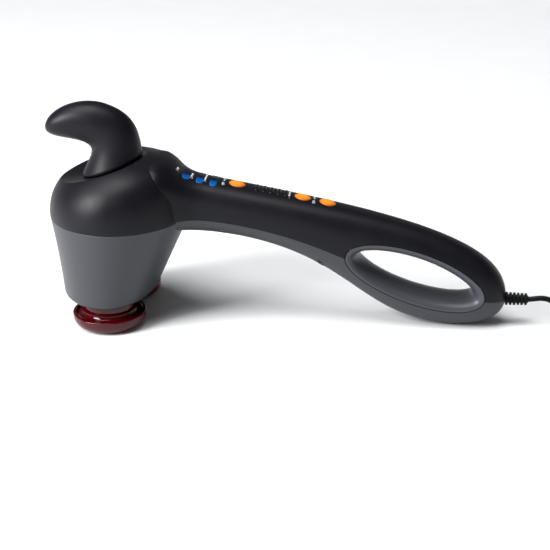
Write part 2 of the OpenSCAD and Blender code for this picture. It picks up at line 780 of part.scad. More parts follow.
module motor_magnets() color([0.2, 0.2, 0.2]) place() difference() {
  disc_x(can_x[0] + 7, can_x[1] - 8, motor_r - can_wall, 0, motor_h);
  disc_x(can_x[0] + 6, can_x[1] - 7, motor_r - can_wall - magnet_t, 0, motor_h);
  block([can_x[0] + 6, -4, motor_h - motor_r], [can_x[1] - 7, 4, motor_h + motor_r]);
}

module motor_screws() color(steel) place() for (y = [-12, 12]) {
  disc_x(plate_x[0] - 1.6, plate_x[0], 2.6, y, motor_h);
  disc_x(plate_x[0] - 0.1, can_x[0] + can_wall + 1, screw_r, y, motor_h);
}

disc_x0 = -9.6;
disc_t = 3.7;

module motor_shaft() color(steel) place() disc_x(disc_x0, can_x[1] + 3.7, shaft_r, 0, motor_h);

module armature() color([0.6, 0.35, 0.2]) place() difference() {
  union() {
    disc_x(can_x[0] + 9, can_x[1] - 12, motor_r - can_wall - magnet_t - 0.5, 0, motor_h);
    disc_x(can_x[1] - 12.1, can_x[1] - 5, 5, 0, motor_h);
  }
  disc_x(can_x[0] + 8, can_x[1], shaft_r, 0, motor_h);
}

module crank_disc() color(steel) place() difference() {
  union() {
    intersection() {
      disc_x(disc_x0, disc_x0 + disc_t, 9.5, 0, motor_h);
      block([disc_x0 - 1, -9.5, motor_h - 9.5], [disc_x0 + disc_t + 1, 9.5, motor_h + 6.2]);
    }
    disc_x(fork_x[0] - 1.5, disc_x0 + 0.1, 1.5, 0, motor_h + crank_throw);
  }
  disc_x(disc_x0 - 0.01, disc_x0 + disc_t + 1, shaft_r, 0, motor_h);
}

module crank_roller() color(steel) place() difference() {
  disc_x(fork_x[0] - 0.5, fork_x[1] + 0.5, roller_r, 0, motor_h + crank_throw);
  disc_x(fork_x[0] - 2, fork_x[1] + 2, 1.5, 0, motor_h + crank_throw);
}

// ---------------------------------------------------------------- controls

board_x = [69, 204];
board_drop = 11.5;
board_w = 21;
board_a = top_pt(reach(top_curve, board_x[0])) - [0, board_drop];
board_b = top_pt(reach(top_curve, board_x[1])) - [0, board_drop];
board_slope = atan2(board_a[1] - board_b[1], board_b[0] - board_a[0]);
board_screw_x = [100.5, 179.5];
board_screw_y = 7.5;

function board_z(x) = board_a[1] - (x - board_a[0]) * tan(board_slope);

// Distance from the cover's top line down to the board, along the button's axis
function to_board(x) = (top_pt(reach(top_curve, x))[1] - board_z(x)) * cos(board_slope);

// Frame on the board's upper face at x
module on_board(x) translate([x, 0, board_z(x)]) rotate([0, board_slope, 0]) children();

module at_board_screws() for (x = board_screw_x, y = [-board_screw_y, board_screw_y])
  on_board(x) translate([0, y, 0]) children();

module board_posts() at_board_screws() cylinder(h = board_drop - 2.2, r = 2.6, $fn = 32);
module board_bores() at_board_screws() translate([0, 0, -1]) cylinder(h = 8, r = 1, $fn = 24);

module control_board() color([0.1, 0.35, 0.2]) place() {
  difference() {
    on_board(board_x[0]) translate([0, -board_w / 2, -board_t])
      cube([norm(board_b - board_a), board_w, board_t]);
    at_board_screws() translate([0, 0, -5]) cylinder(h = 10, r = 1.1, $fn = 24);
  }
  for (x = window_x) on_board(max(x, board_x[0] + 2)) block([-2, -8, 0], [2, 8, 2]);
  for (x = level_x) on_board(x) block([-1, -4, 0], [1, 4, 2]);
}

module board_screws() color(steel) place() at_board_screws() {
  translate([0, 0, -board_t - 1.4]) cylinder(h = 1.4, r = 2, $fn = 32);
  translate([0, 0, -board_t - 0.1]) cylinder(h = board_t + 5, r = 1, $fn = 24);
}

flange_z = -wall - 1.3;
flange_t = 1.2;
stem_low = flange_z - flange_t - 1.4;

module tact_switches() color([0.2, 0.2, 0.22]) place() for (x = button_x) on_top(x) {
  drop = to_board(x);
  low = stem_low - button_travel - 0.1;
  block([-3, -3, -drop + 0.1], [3, 3, low - 0.8]);
  translate([0, 0, -drop + 1]) cylinder(h = low + drop - 1, r = 1.7, $fn = 32);
}

module button(x) color(orange) place() on_top(x) union() {
  intersection() {
    translate([0, 0, flange_z]) cylinder(h = button_proud - flange_z, d = button_d, $fn = 64);
    translate([0, 0, button_proud - 24]) sphere(r = 24, $fn = 96);
  }
  translate([0, 0, flange_z - flange_t]) cylinder(h = flange_t + 0.1, r = button_d / 2 + 1, $fn = 64);
  translate([0, 0, stem_low]) cylinder(h = 2, r = 1.7, $fn = 32);
}

module power_button() button(button_x[0]);
module speed_button() button(button_x[1]);
module heat_button() button(button_x[2]);

module light_windows() color([0.1, 0.35, 0.85]) place() for (x = window_x) on_top(x) intersection() {
  slot(window_l, window_w, 9, -6.5);
  translate([-10, 0, -70]) rotate([0, 90, 0]) cylinder(h = 20, r = 70.2, $fn = 128);
}

module level_windows() color([0.05, 0.05, 0.06]) place() for (x = level_x) on_top(x) intersection() {
  slot(level_l, level_w, 9, -5);
  translate([-10, 0, -70]) rotate([0, 90, 0]) cylinder(h = 20, r = 70.6, $fn = 128);
}

supply_x = [80, 136];
supply_h = deck_h - 47.4;
supply_pegs = [86, 130];

module power_board() color([0.1, 0.35, 0.2]) place() union() {
  block([supply_x[0], -10, supply_h], [supply_x[1], 10, supply_h + board_t]);
  block([88, -8, supply_h + 1], [100, 8, supply_h + 12]);
  block([supply_x[1] - 8, -9, supply_h + 1], [supply_x[1], -1, supply_h + 9]);
  translate([110, 3.5, supply_h + 1]) cylinder(h = 12, r = 4.5, $fn = 32);
  translate([121, 4, supply_h + 1]) cylinder(h = 8, r = 4, $fn = 32);
}

module housing_screws() color(steel) place() {
  at_head_screws() panel_screw(well_h, parting_h + thread_l - 1);
  for (x = side_screw_x, y = [-side_screw_y, side_screw_y]) translate([x, y, 0])
    panel_screw(side_seat(x), height_at(joint_curve, x) + thread_l - 1);
}

wire_r = 0.9;
ribbon_x = 116;
motor_wire = [
  [supply_x[0] + 4, 3, supply_h + board_t + wire_r], [76, 3, supply_h + 7], [70, 3, port_h - 4],
  [65, 3, port_h], [60, 4, port_h - 2], [57, 7, motor_h + 12], [55, 9, motor_h + 7],
  [motor_back + 0.5, 9, motor_h + 5]
];

// Two wires from the power board to the motor, and a flat lead up to the control board
module inner_wires() color([0.6, 0.1, 0.1]) place() {
  sweep(through(motor_wire, 2), wire_r, 8);
  sweep([for (p = through(motor_wire, 2)) [p[0], -p[1], p[2]]], wire_r, 8);
  block([ribbon_x, -6, supply_h + board_t], [ribbon_x + 1, 6, board_z(ribbon_x + 1) - 1.1 * board_t]);
}

// ---------------------------------------------------------------- cord

rib_n = 6;
rib_pitch = relief_l / rib_n;

module strain_relief() color(black) place() translate([handle_end, 0, relief_h])
  rotate([0, 90, 0]) difference() {
  union() {
    translate([0, 0, -collar_in]) cylinder(h = collar_in + 1, r = collar_r, $fn = 48);
    translate([0, 0, -collar_in]) cylinder(h = 2.2, r = collar_r + 1.2, $fn = 48);
    for (k = [0:rib_n - 1]) translate([0, 0, k * rib_pitch])
      cylinder(h = rib_pitch * 0.62, r = relief_r - 0.12 * k, $fn = 48);
    cylinder(h = relief_l, r1 = collar_r, r2 = cord_d / 2 + 1, $fn = 48);
  }
  translate([0, 0, -collar_in - 1]) cylinder(h = collar_in + relief_l + 2, r = cord_d / 2 + seam, $fn = 48);
}

module cord_clamp() color(black) place() difference() {
  block([clamp_x[0], -clamp_y - 2.6, clamp_h], [clamp_x[1], clamp_y + 2.6, clamp_h + 2.5]);
  for (y = [-clamp_y, clamp_y]) translate([clamp_mid, y, 0]) cylinder(h = 50, r = 1.2, $fn = 24);
}

module clamp_screws() color(steel) place() for (y = [-clamp_y, clamp_y])
  translate([clamp_mid, y, clamp_h]) {
    translate([0, 0, 2.5]) cylinder(h = 1.6, r = 2.3, $fn = 32);
    translate([0, 0, -7]) cylinder(h = 9.6, r = 1.2, $fn = 24);
  }

// Height halfway between the loop's opening and the handle's top line
function over_loop(x) =
  let (
    u = (x - loop_x) * cos(loop_tilt) / loop_a,
    rim = loop_h - (x - loop_x) * tan(loop_tilt) + loop_b * sqrt(max(0, 1 - u * u)) / cos(loop_tilt)
  )
  (rim + height_at(top_curve, x)) / 2;

// Lead inside the handle, over the loop to the power board
lead_h = relief_h + 0.05;
lead_route = concat(
  [for (q = [[0.2, 0], [6, 0], [12.5, 0], [15.6, 1.9], [17.4, 7.3], [17.1, 16.3], [21, 26.3], [28, 34.3]])
    [handle_end - q[0], 0, lead_h + q[1]]],
  [for (x = [310, 293, 273, 250]) [x, 0, over_loop(x)]],
  [for (x = [222, 195, 168]) [x, 0, supply_h]],
  [[152, -3, supply_h + 2], [143, -5, supply_h + 4.5], [supply_x[1] + 0.4, -5, supply_h + 5]]
);

module inner_lead() color([0.2, 0.2, 0.2]) place() sweep(through(lead_route, 2), cord_d / 2 - 0.1, 8);

// Where the cord isn't coiled, its route goes through these points. It falls to the floor
// from the strain relief and runs into the coil. The tail leaves the coil for the plug.
cord_route = [
  [349, 0, 23.6], [360, 0, 23.6], [369.5, 0, 23.6], [376, 0, 24.6], [382, 0, 25], [389, 0, 23.2],
  [397, 0, 18.4], [405, -0.6, 11.6], [414, -1.6, 6], [424, -2.5, 3.6], [432, -2.8, 3.2]
];
tail_route = [
  [471.8, 36, 17.6], [471.8, 43, 16.4], [471.8, 50, 13.2], [471.8, 57, 9], [471.8, 64, 5.4],
  [471.8, 71, 3.3], [471.8, 79, 2.9], [471.8, 87, 4.3], [471.8, 94, 6.2], [471.8, 99.5, 6.9],
  [471.8, 105, 6.9]
];

module cord() color(black) place() sweep(through(cord_route, 3), cord_d / 2, 8);
module cord_tail() color(black) place() sweep(through(tail_route, 3), cord_d / 2, 8);

// Coil of four layers of three turns, held by a strap
coil_x = 438;
coil_y = 31;
coil_turns = 3;
coil_layers = 4;
coil_r = 29;
strap_t = 0.8;
strap_w = 12;
coil_in = coil_r - coil_turns * cord_d / 2;
coil_out = coil_r + coil_turns * cord_d / 2;
coil_h = coil_layers * cord_d;

module cord_coil() color(black) place() translate([coil_x, coil_y, strap_t]) rotate_extrude($fn = 96)
  translate([coil_in, 0]) square([coil_out - coil_in, coil_h]);

module coil_tie() color(grey) place() translate([coil_x, coil_y, 0]) rotate(135) difference() {
  block([coil_in - strap_t - 0.8, -strap_w / 2, 0],
    [coil_out + strap_t, strap_w / 2, coil_h + 2 * strap_t]);
  translate([0, 0, strap_t]) difference() {
    cylinder(h = coil_h, r = coil_out, $fn = 96);
    translate([0, 0, -1]) cylinder(h = coil_h + 2, r = coil_in, $fn = 96);
  }
}

plug_y = 100;
plug_h = 6.9;
boot_l = 20;
shell_l = 35;

// Half outlines of the plug: width and thickness along its length
plug_plan = [[5.2, 0], [6.4, 5], [9.6, 12], [12.4, 18], [13.2, 24], [13.2, shell_l]];
plug_side = [[4.8, 0], [6.2, 7], [6.8, 14], [6.8, shell_l]];

module mirrored(half, h) linear_extrude(h, center = true)
  polygon(concat(half, [for (i = [len(half) - 1:-1:0]) [-half[i][0], half[i][1]]]));

module at_plug() translate([471.8, plug_y, plug_h]) children();

module plug_body() color(black) place() at_plug() difference() {
  union() {
    translate([0, boot_l, 0]) intersection() {
      mirrored(plug_plan, 20);
      rotate([0, 90, 0]) mirrored(plug_side, 40);
    }
    rotate([-90, 0, 0]) cylinder(h = boot_l + 1, r1 = cord_d / 2 + 1, r2 = 5, $fn = 48);
  }
  rotate([-90, 0, 0]) translate([0, 0, -1]) cylinder(h = 7, r = cord_d / 2 + seam, $fn = 48);
}

module plug_pins() color(steel) place() at_plug() for (side = [-1, 1])
  translate([side * pin_pitch / 2, boot_l + shell_l, 0]) rotate([-90, 0, 0]) {
    cylinder(h = pin_l - 1, r = pin_r, $fn = 48);
    translate([0, 0, pin_l - 1]) cylinder(h = 1, r1 = pin_r, r2 = pin_r - 0.8, $fn = 48);
  }

head_dome();
head_body();
handle_cover();
handle_base();
loop_liner();
hook_knob();
swivel_spindle();
swivel_washer();
swivel_screw();
rocker_beam();
node_cap_left();
node_cap_right();
led_board_left();
led_board_right();
drive_frame();
frame_screws();
pivot_pin();
pivot_bushes();
motor_can();
motor_end_cap();
motor_magnets();
motor_screws();
motor_shaft();
armature();
crank_disc();
crank_roller();
control_board();
board_screws();
tact_switches();
power_board();
inner_wires();
inner_lead();
housing_screws();
power_button();
speed_button();
heat_button();
light_windows();
level_windows();
strain_relief();
cord_clamp();
clamp_screws();
cord();
cord_coil();
cord_tail();
coil_tie();
plug_body();
plug_pins();
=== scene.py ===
# Corded two-node percussion massager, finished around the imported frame.
# Shapes are worked out in millimetres from the line of the two nodes, and toFrame() moves
# them to the frame.
import json
import math

import bmesh
import bpy
import numpy as np
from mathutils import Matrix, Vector


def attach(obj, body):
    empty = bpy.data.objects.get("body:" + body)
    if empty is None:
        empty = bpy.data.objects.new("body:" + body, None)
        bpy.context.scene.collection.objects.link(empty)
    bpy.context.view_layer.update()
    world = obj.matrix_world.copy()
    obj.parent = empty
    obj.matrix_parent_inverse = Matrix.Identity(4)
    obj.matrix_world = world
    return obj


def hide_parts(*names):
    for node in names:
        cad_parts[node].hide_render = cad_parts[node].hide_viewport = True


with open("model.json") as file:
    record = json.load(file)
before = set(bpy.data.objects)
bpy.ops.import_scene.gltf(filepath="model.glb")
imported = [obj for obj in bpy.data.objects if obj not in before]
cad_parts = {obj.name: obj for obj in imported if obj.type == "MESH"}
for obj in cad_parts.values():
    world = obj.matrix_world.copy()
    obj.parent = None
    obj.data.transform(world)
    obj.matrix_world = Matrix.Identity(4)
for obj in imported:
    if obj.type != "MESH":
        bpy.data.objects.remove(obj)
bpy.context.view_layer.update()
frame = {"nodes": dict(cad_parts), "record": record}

nodeLine = 146.45  # from the line of the nodes to the frame's origin, along X


def toFrame(points):
    return (np.asarray(points, float) - [nodeLine, 0, 0]) / 1000


view = {
    "aim": (144.2, 0, 36.9),
    "turn": 6.0,  # degrees round the object
    "rise": 23.0,  # degrees above the floor
    "away": 1076.0,
    "lens": 78.55,
    "near": 50.0,  # nothing closer than this is drawn
}
cameraData = bpy.data.cameras.new("camera")
cameraData.lens = view["lens"]
cameraData.clip_start = view["near"] / 1000
cameraObject = bpy.data.objects.new("camera", cameraData)
bpy.context.collection.objects.link(cameraObject)
turn, rise = math.radians(view["turn"]), math.radians(view["rise"])
back = Vector((math.sin(turn) * math.cos(rise), -math.cos(turn) * math.cos(rise), math.sin(rise)))
cameraObject.location = Vector(toFrame(view["aim"])) + back * view["away"] / 1000
cameraObject.rotation_euler = back.to_track_quat("Z", "Y").to_euler()
bpy.context.scene.camera = cameraObject
print("camera set")

cord = {
    "thick": 4.8,
    "facets": 5,  # in a quarter of its round
    "steps": 4,  # between two points of its line
    "weld": 1e-6,  # metres, to close its end caps
    "out": [
        [349, 0, 23.6], [360, 0, 23.6], [369.5, 0, 23.6], [376, 0, 24.6], [382, 0, 25],
        [389, 0, 23.2], [397, 0, 18.4], [405, -0.6, 11.6], [414, -1.6, 6], [424, -2.5, 3.6],
        [432, -2.8, 3.2],
    ],
    "coilMiddle": (438, 31),
    "radii": (33.8, 29.0, 24.2),
    "layers": 4,
    "floor": 3.2,  # height of the lowest turn's middle
    "perTurn": 24,  # points in a turn
    "shift": 72,  # degrees over which the cord moves to the next turn
    "wound": 90 + 360 * 9,  # degrees of winding in all
    "tail": [
        [471.8, 36, 17.6], [471.8, 43, 16.4], [471.8, 50, 13.2], [471.8, 57, 9], [471.8, 64, 5.4],
        [471.8, 71, 3.3], [471.8, 79, 2.9], [471.8, 87, 4.3], [471.8, 94, 6.2], [471.8, 99.5, 6.9],
        [471.8, 105, 6.9],
    ],
}


def smoothThrough(points, steps):
    # curve that goes through every point, with as many steps between two of them
    p = np.asarray(points, float)
    made = []
    for k in range(len(p) - 1):
        a, b, c, e = p[max(k - 1, 0)], p[k], p[k + 1], p[min(k + 2, len(p) - 1)]
        for j in range(steps):
            t = j / steps
            made.append(0.5 * (2 * b + (c - a) * t + (2 * a - 5 * b + 4 * c - e) * t**2
                               + (3 * b - a - 3 * c + e) * t**3))
    return np.array(made + [p[-1]])


def coilPoints():
    # three turns side by side, then three on top of them in the other order, four layers in all
    places = []
    for layer in range(cord["layers"]):
        radii = cord["radii"] if layer % 2 == 0 else cord["radii"][::-1]
        places += [np.array([r, cord["floor"] + cord["thick"] * layer]) for r in radii]
    count = round(cord["wound"] / 360 * cord["perTurn"])
    made = []
    for i in range(count + 1):
        wound = cord["wound"] * i / count
        place = places[0].copy()
        for k in range(1, len(places)):
            f = min(max((wound - (360 - cord["shift"]) * k) / cord["shift"], 0), 1)
            place += (places[k] - places[k - 1]) * f * f * (3 - 2 * f)
        angle = math.radians(wound - 90)
        made.append([cord["coilMiddle"][0] + place[0] * math.cos(angle),
                     cord["coilMiddle"][1] + place[0] * math.sin(angle), place[1]])
    return np.array(made)


cordLine = toFrame(np.vstack([
    smoothThrough(cord["out"], 2), coilPoints(), smoothThrough(cord["tail"], 2),
]))
cordCurve = bpy.data.curves.new("mains_cord", "CURVE")
cordCurve.dimensions = "3D"
cordCurve.bevel_depth = cord["thick"] / 2000
cordCurve.bevel_resolution = cord["facets"]
cordCurve.resolution_u = cord["steps"]
cordCurve.use_fill_caps = True
spline = cordCurve.splines.new("BEZIER")
spline.bezier_points.add(len(cordLine) - 1)
for point, place in zip(spline.bezier_points, cordLine):
    point.co = place
    point.handle_left_type = point.handle_right_type = "AUTO"
holder = bpy.data.objects.new("cord_line", cordCurve)
bpy.context.collection.objects.link(holder)
mainsCord = bpy.data.objects.new("mains_cord", bpy.data.meshes.new_from_object(holder))
bpy.context.collection.objects.link(mainsCord)
welded = bmesh.new()
welded.from_mesh(mainsCord.data)
bmesh.ops.remove_doubles(welded, verts=welded.verts, dist=cord["weld"])
welded.to_mesh(mainsCord.data)
welded.free()
mainsCord.data.shade_smooth()
bpy.data.objects.remove(holder)


def toLinear(code):
    # sRGB hex to linear colour
    parts = [int(code[k:k + 2], 16) / 255 for k in (1, 3, 5)]
    return tuple(c / 12.92 if c <= 0.04045 else ((c + 0.055) / 1.055) ** 2.4 for c in parts) + (1,)


def addNode(tree, kind, settings=None, links=None):
    # settings name a property of the node or one of its sockets, links name a socket
    node = tree.nodes.new(kind)
    for key, value in (settings or {}).items():
        if isinstance(key, str) and hasattr(node, key):
            setattr(node, key, value)
        else:
            node.inputs[key].default_value = value
    for key, source in (links or {}).items():
        tree.links.new(source, node.inputs[key])
    return node


def newMaterial(name, shader, pattern):
    material = bpy.data.materials.new(name)
    material.use_nodes = True
    tree = material.node_tree
    tree.nodes.clear()
    out = addNode(tree, "ShaderNodeOutputMaterial")
    body = addNode(tree, "ShaderNodeBsdfPrincipled", shader)
    tree.links.new(body.outputs[0], out.inputs["Surface"])
    pattern(tree, body)
    return material


def mottle(low, high, grain, rough, bumpGrain=None, bump=0.0, detail=3.0):
    # two close colours and a spread of roughness over noise; grain sizes and bump in mm
    def pattern(tree, body):
        place = addNode(tree, "ShaderNodeTexCoord").outputs["Object"]
        noise = addNode(tree, "ShaderNodeTexNoise", {"Scale": 1000 / grain, "Detail": detail},
                        {"Vector": place})
        tone = addNode(tree, "ShaderNodeMix",
                       {"data_type": "RGBA", 6: toLinear(low), 7: toLinear(high)},
                       {0: noise.outputs[0]})
        tree.links.new(tone.outputs[2], body.inputs["Base Color"])
        # most of the noise lies between 0.3 and 0.7
        spread = addNode(tree, "ShaderNodeMapRange",
                         {"From Min": 0.3, "From Max": 0.7, "To Min": rough[0], "To Max": rough[1]},
                         {"Value": noise.outputs[0]})
        tree.links.new(spread.outputs[0], body.inputs["Roughness"])
        if bump:
            fine = addNode(tree, "ShaderNodeTexNoise", {"Scale": 1000 / bumpGrain, "Detail": 2.0},
                           {"Vector": place})
            relief = addNode(tree, "ShaderNodeBump", {"Strength": 1.0, "Distance": bump / 1000},
                             {"Height": fine.outputs[0]})
            tree.links.new(relief.outputs[0], body.inputs["Normal"])
    return pattern


# soft-touch polyurethane lacquer on ABS: a fine satin skin that spreads highlights wide
softTouch = newMaterial("softTouchLacquer", {"IOR": 1.5, "Specular IOR Level": 0.2},
                        mottle("#08080f", "#0c0c13", 14, (0.4, 0.47), 0.9, 0.004))
# metallic lacquer on ABS: satin grey; its flakes are drawn far coarser than they are, to show
greyLacquer = newMaterial("metallicGreyLacquer", {"IOR": 1.5, "Specular IOR Level": 0.4},
                          mottle("#2c2e33", "#313338", 1.2, (0.38, 0.46), 0.7, 0.003, 6.0))
# the same lacquer on the liner of the grip: paler and a little smoother
linerLacquer = newMaterial("linerGreyLacquer", {"IOR": 1.5, "Specular IOR Level": 0.4},
                           mottle("#393b41", "#3e4046", 1.2, (0.34, 0.42), 0.7, 0.002, 6.0))
# tinted polycarbonate lens, moulded and polished: deep red, glossy, and half clear for its lamp
redLens = newMaterial("redPolycarbonate",
                      {"IOR": 1.49, "Transmission Weight": 0.5, "Specular IOR Level": 0.2},
                      mottle("#4a0008", "#5c010c", 22, (0.06, 0.12), 6.0, 0.02))
# extruded flexible PVC: black and matt, with a weak shine
blackCord = newMaterial("flexiblePvc", {"IOR": 1.53, "Specular IOR Level": 0.12},
                        mottle("#070709", "#0a0a0d", 8, (0.4, 0.5), 1.2, 0.01))
# moulded PVC: a shade paler than the cord, and duller
mouldedPlug = newMaterial("mouldedPvcPlug", {"IOR": 1.53},
                          mottle("#161619", "#1c1c20", 9, (0.45, 0.55), 0.8, 0.012))
# pad-printed ink: a flat, even white
whitePrint = newMaterial("padPrintedWhite", {"IOR": 1.5},
                         mottle("#c9cbd0", "#d8dade", 1.5, (0.5, 0.6)))


def keyPaintedShadePattern(tree, body):
    # painted highlight and shade: the crown is painted pale and the edge and skirt darker
    edge = addNode(tree, "ShaderNodeAttribute", {"attribute_name": "skirt"}).outputs["Fac"]
    ramp = addNode(tree, "ShaderNodeValToRGB", None, {"Fac": edge})
    stops = ramp.color_ramp.elements
    stops[0].position, stops[0].color = 0.5, toLinear("#e58c24")
    stops[1].position, stops[1].color = 1.0, toLinear("#b85e10")
    # a grain of about 1.4 mm that stands 6 thousandths of a millimetre proud
    grain = addNode(tree, "ShaderNodeTexNoise", {"Scale": 700.0},
                    {"Vector": addNode(tree, "ShaderNodeTexCoord").outputs["Object"]})
    relief = addNode(tree, "ShaderNodeBump", {"Distance": 0.000006}, {"Height": grain.outputs[0]})
    tree.links.new(ramp.outputs[0], body.inputs["Base Color"])
    tree.links.new(relief.outputs[0], body.inputs["Normal"])


# moulded silicone: soft and faintly clear, with a painted highlight that makes its crown paler and
# painted shade that darkens its edge and skirt
orangeKey = newMaterial("orangeSilicone",
                        {"IOR": 1.43, "Roughness": 0.45, "Specular IOR Level": 0.3,
                         "Subsurface Weight": 0.1, "Subsurface Scale": 0.002}, keyPaintedShadePattern)


def windowGlowPattern(tree, body):
    # painted glow: bright at the near end of its 27 mm, where its lamp is, and nearly black at the
    # far one
    place = addNode(tree, "ShaderNodeTexCoord").outputs["Object"]
    across = addNode(tree, "ShaderNodeSeparateXYZ", None, {"Vector": place}).outputs["Y"]
    along = addNode(tree, "ShaderNodeMapRange", {"From Min": -0.0135, "From Max": 0.0135},
                    {"Value": across})
    ramp = addNode(tree, "ShaderNodeValToRGB", None, {"Fac": along.outputs[0]})
    stops = ramp.color_ramp.elements
    stops[0].position, stops[0].color = 0.0, toLinear("#04509a")
    stops[1].position, stops[1].color = 1.0, toLinear("#02050e")
    for at, tint in ((0.24, "#034788"), (0.36, "#03244c"), (0.46, "#020a1c")):
        stop = stops.new(at)
        stop.color = toLinear(tint)
    tree.links.new(ramp.outputs[0], body.inputs["Base Color"])


# blue polycarbonate light pipe, moulded smooth: saturated, with little shine, and its lamp's light
# painted into its colour as a glow that fades along it
blueWindow = newMaterial("bluePolycarbonate",
                         {"IOR": 1.58, "Specular IOR Level": 0.12, "Roughness": 0.2},
                         windowGlowPattern)
# smoked polycarbonate: black glass to the eye, with a crisp highlight
smokedWindow = newMaterial("smokedPolycarbonate", {"IOR": 1.58, "Specular IOR Level": 0.3},
                           mottle("#030304", "#060608", 6, (0.14, 0.22), 1.0, 0.004))

finishes = {
    "soft_black_shell": softTouch, "grey_shell": greyLacquer, "red_lens": redLens,
    "orange_key": orangeKey, "blue_window": blueWindow, "black_window": smokedWindow,
    "cord_pvc": blackCord, "relief_pvc": blackCord, "tie_strap": blackCord,
    "plug_plastic": mouldedPlug,
    # nickel plate on turned brass: bright, smooth and faintly yellow
    "plug_nickel": newMaterial("nickelPlatedBrass", {"Metallic": 1.0},
                               mottle("#c8c4bb", "#d0ccc4", 5, (0.18, 0.28), 0.6, 0.002)),
    # zinc plate on steel: cool grey and half bright
    "zinc_steel": newMaterial("zincPlatedSteel", {"Metallic": 1.0},
                              mottle("#a4a6aa", "#b2b4b7", 3, (0.28, 0.4), 0.5, 0.003)),
    # drawn steel: darker, with a satin shine
    "motor_steel": newMaterial("drawnSteelCan", {"Metallic": 1.0},
                               mottle("#8d9095", "#9a9da1", 6, (0.3, 0.42), 0.8, 0.003)),
    # alloy as it leaves the die: matt and slightly uneven
    "frame_alloy": newMaterial("dieCastAlloy", {"Metallic": 1.0},
                               mottle("#9c9ea1", "#aaacae", 4, (0.45, 0.6), 1.0, 0.01)),
    # moulded nylon with glass fibre: dark, dry and dull
    "beam_nylon": newMaterial("glassFilledNylon", {"IOR": 1.53},
                              mottle("#2c2c30", "#35353a", 3, (0.55, 0.68), 0.8, 0.01)),
    # sintered bronze: warm, and dulled by its pores
    "bush_bronze": newMaterial("sinteredBronze", {"Metallic": 1.0},
                               mottle("#a5773f", "#b5874c", 1.5, (0.4, 0.5), 0.6, 0.01)),
    # pressed ferrite: nearly black, with a stony surface
    "magnet_ferrite": newMaterial("ferriteMagnet", {"IOR": 1.6},
                                  mottle("#1f1f21", "#2a2a2c", 2, (0.5, 0.62), 0.6, 0.01)),
    # enamelled copper wire: red-brown, with the shine of its varnish
    "copper_winding": newMaterial("enamelledCopper", {"Metallic": 1.0},
                                  mottle("#93512a", "#a8622f", 0.8, (0.25, 0.4), 0.5, 0.05)),
    # moulded black nylon: even and matt
    "black_nylon": newMaterial("blackNylon", {"IOR": 1.53},
                               mottle("#121214", "#19191b", 4, (0.5, 0.6), 0.8, 0.008)),
    # solder mask on a circuit board: green and half gloss
    "circuit_board": newMaterial("solderMask", {"IOR": 1.5},
                                 mottle("#0d4526", "#12532f", 5, (0.3, 0.42), 1.5, 0.02)),
    # PVC wire insulation: plain red with a soft shine
    "wire_pvc": newMaterial("wireInsulation", {"IOR": 1.53},
                            mottle("#8a1210", "#9b1713", 5, (0.4, 0.5), 1.0, 0.01)),
}
for sub in frame["record"]["subparts"]:
    node = frame["nodes"][sub["node"]]
    if not node.material_slots:
        node.data.materials.append(None)
    for place in node.material_slots:
        place.link = "OBJECT"
        place.material = finishes[sub["material_slot"]]
print("finishes ready:", len(finishes))


def signedPower(v, e):
    return np.sign(v) * np.abs(v) ** e


def oval(count, square):
    # points round a unit oval, which is rounder with a lower square and boxier with a higher one
    a = np.linspace(0, 2 * math.pi, count, endpoint=False)
    return np.stack([signedPower(np.cos(a), 2 / square), signedPower(np.sin(a), 2 / square)], 1)


def curveAt(points, t):
    # cubic curve between the first and the last of four points, pulled by the two between
    p = np.asarray(points, float)
    t = np.asarray(t, float)[..., None]
    return (1 - t)**3 * p[0] + 3 * (1 - t)**2 * t * p[1] + 3 * (1 - t) * t**2 * p[2] + t**3 * p[3]


def loft(rings, closed=False):
    # skin over rings with the same number of points; fans close the ends, unless the last ring
    # joins the first
    count, total = len(rings[0]), len(rings)
    points = np.vstack(rings)
    faces = []
    for k in range(total if closed else total - 1):
        a, b = k * count, (k + 1) % total * count
        faces += [(a + i, a + (i + 1) % count, b + (i + 1) % count, b + i) for i in range(count)]
    if not closed:
        points = np.vstack([points, np.mean(rings[0], 0), np.mean(rings[-1], 0)])
        pole, far = total * count, (total - 1) * count
        faces += [(pole, (i + 1) % count, i) for i in range(count)]
        faces += [(pole + 1, far + i, far + (i + 1) % count) for i in range(count)]
    return points, faces


def slab(outline, low, high, axis):
    # solid between two copies of an outline, square to an axis
    count = len(outline)
    points = np.vstack([np.insert(np.asarray(outline, float), axis, at, axis=1)
                        for at in (low, high)])
    faces = [(i, (i + 1) % count, count + (i + 1) % count, count + i) for i in range(count)]
    faces += [tuple(reversed(range(count))), tuple(range(count, 2 * count))]
    return points, faces


def frameAt(origin, along, up):
    # place of a turned shape: local X, Y and Z in the columns of a matrix, and its origin
    along, up = np.asarray(along, float), np.asarray(up, float)
    return np.array([along, np.cross(up, along), up]).T, np.asarray(origin, float)


def lathe(profile, place, count):
    # turned solid: profile of (radius, height) from axis to axis, set by frameAt
    turnTo, origin = place
    a = np.linspace(0, 2 * math.pi, count, endpoint=False)
    rings = [np.stack([r * np.cos(a), r * np.sin(a), np.full(count, h)], 1)
             for r, h in profile if r > 0]
    points, faces = loft(rings)
    points[-2], points[-1] = (0, 0, profile[0][1]), (0, 0, profile[-1][1])
    return points @ turnTo.T + origin, faces


def rod(place, radius, low, high, count=64):
    return lathe([(0, low), (radius, low), (radius, high), (0, high)], place, count)


usualSharp = 40  # degrees past which an edge stays sharp; with 0 every edge is smooth


def newPiece(name, shape, finish, sharp=usualSharp):
    points, faces = shape
    mesh = bpy.data.meshes.new(name)
    mesh.from_pydata(toFrame(points).tolist(), [], faces)
    build = bmesh.new()
    build.from_mesh(mesh)
    if build.calc_volume(signed=True) < 0:
        bmesh.ops.reverse_faces(build, faces=build.faces)
    build.to_mesh(mesh)
    build.free()
    mesh.shade_smooth()
    if sharp:
        mesh.set_sharp_from_angle(angle=math.radians(sharp))
    piece = bpy.data.objects.new(name, mesh)
    bpy.context.collection.objects.link(piece)
    if finish:
        mesh.materials.append(finish)
    return piece


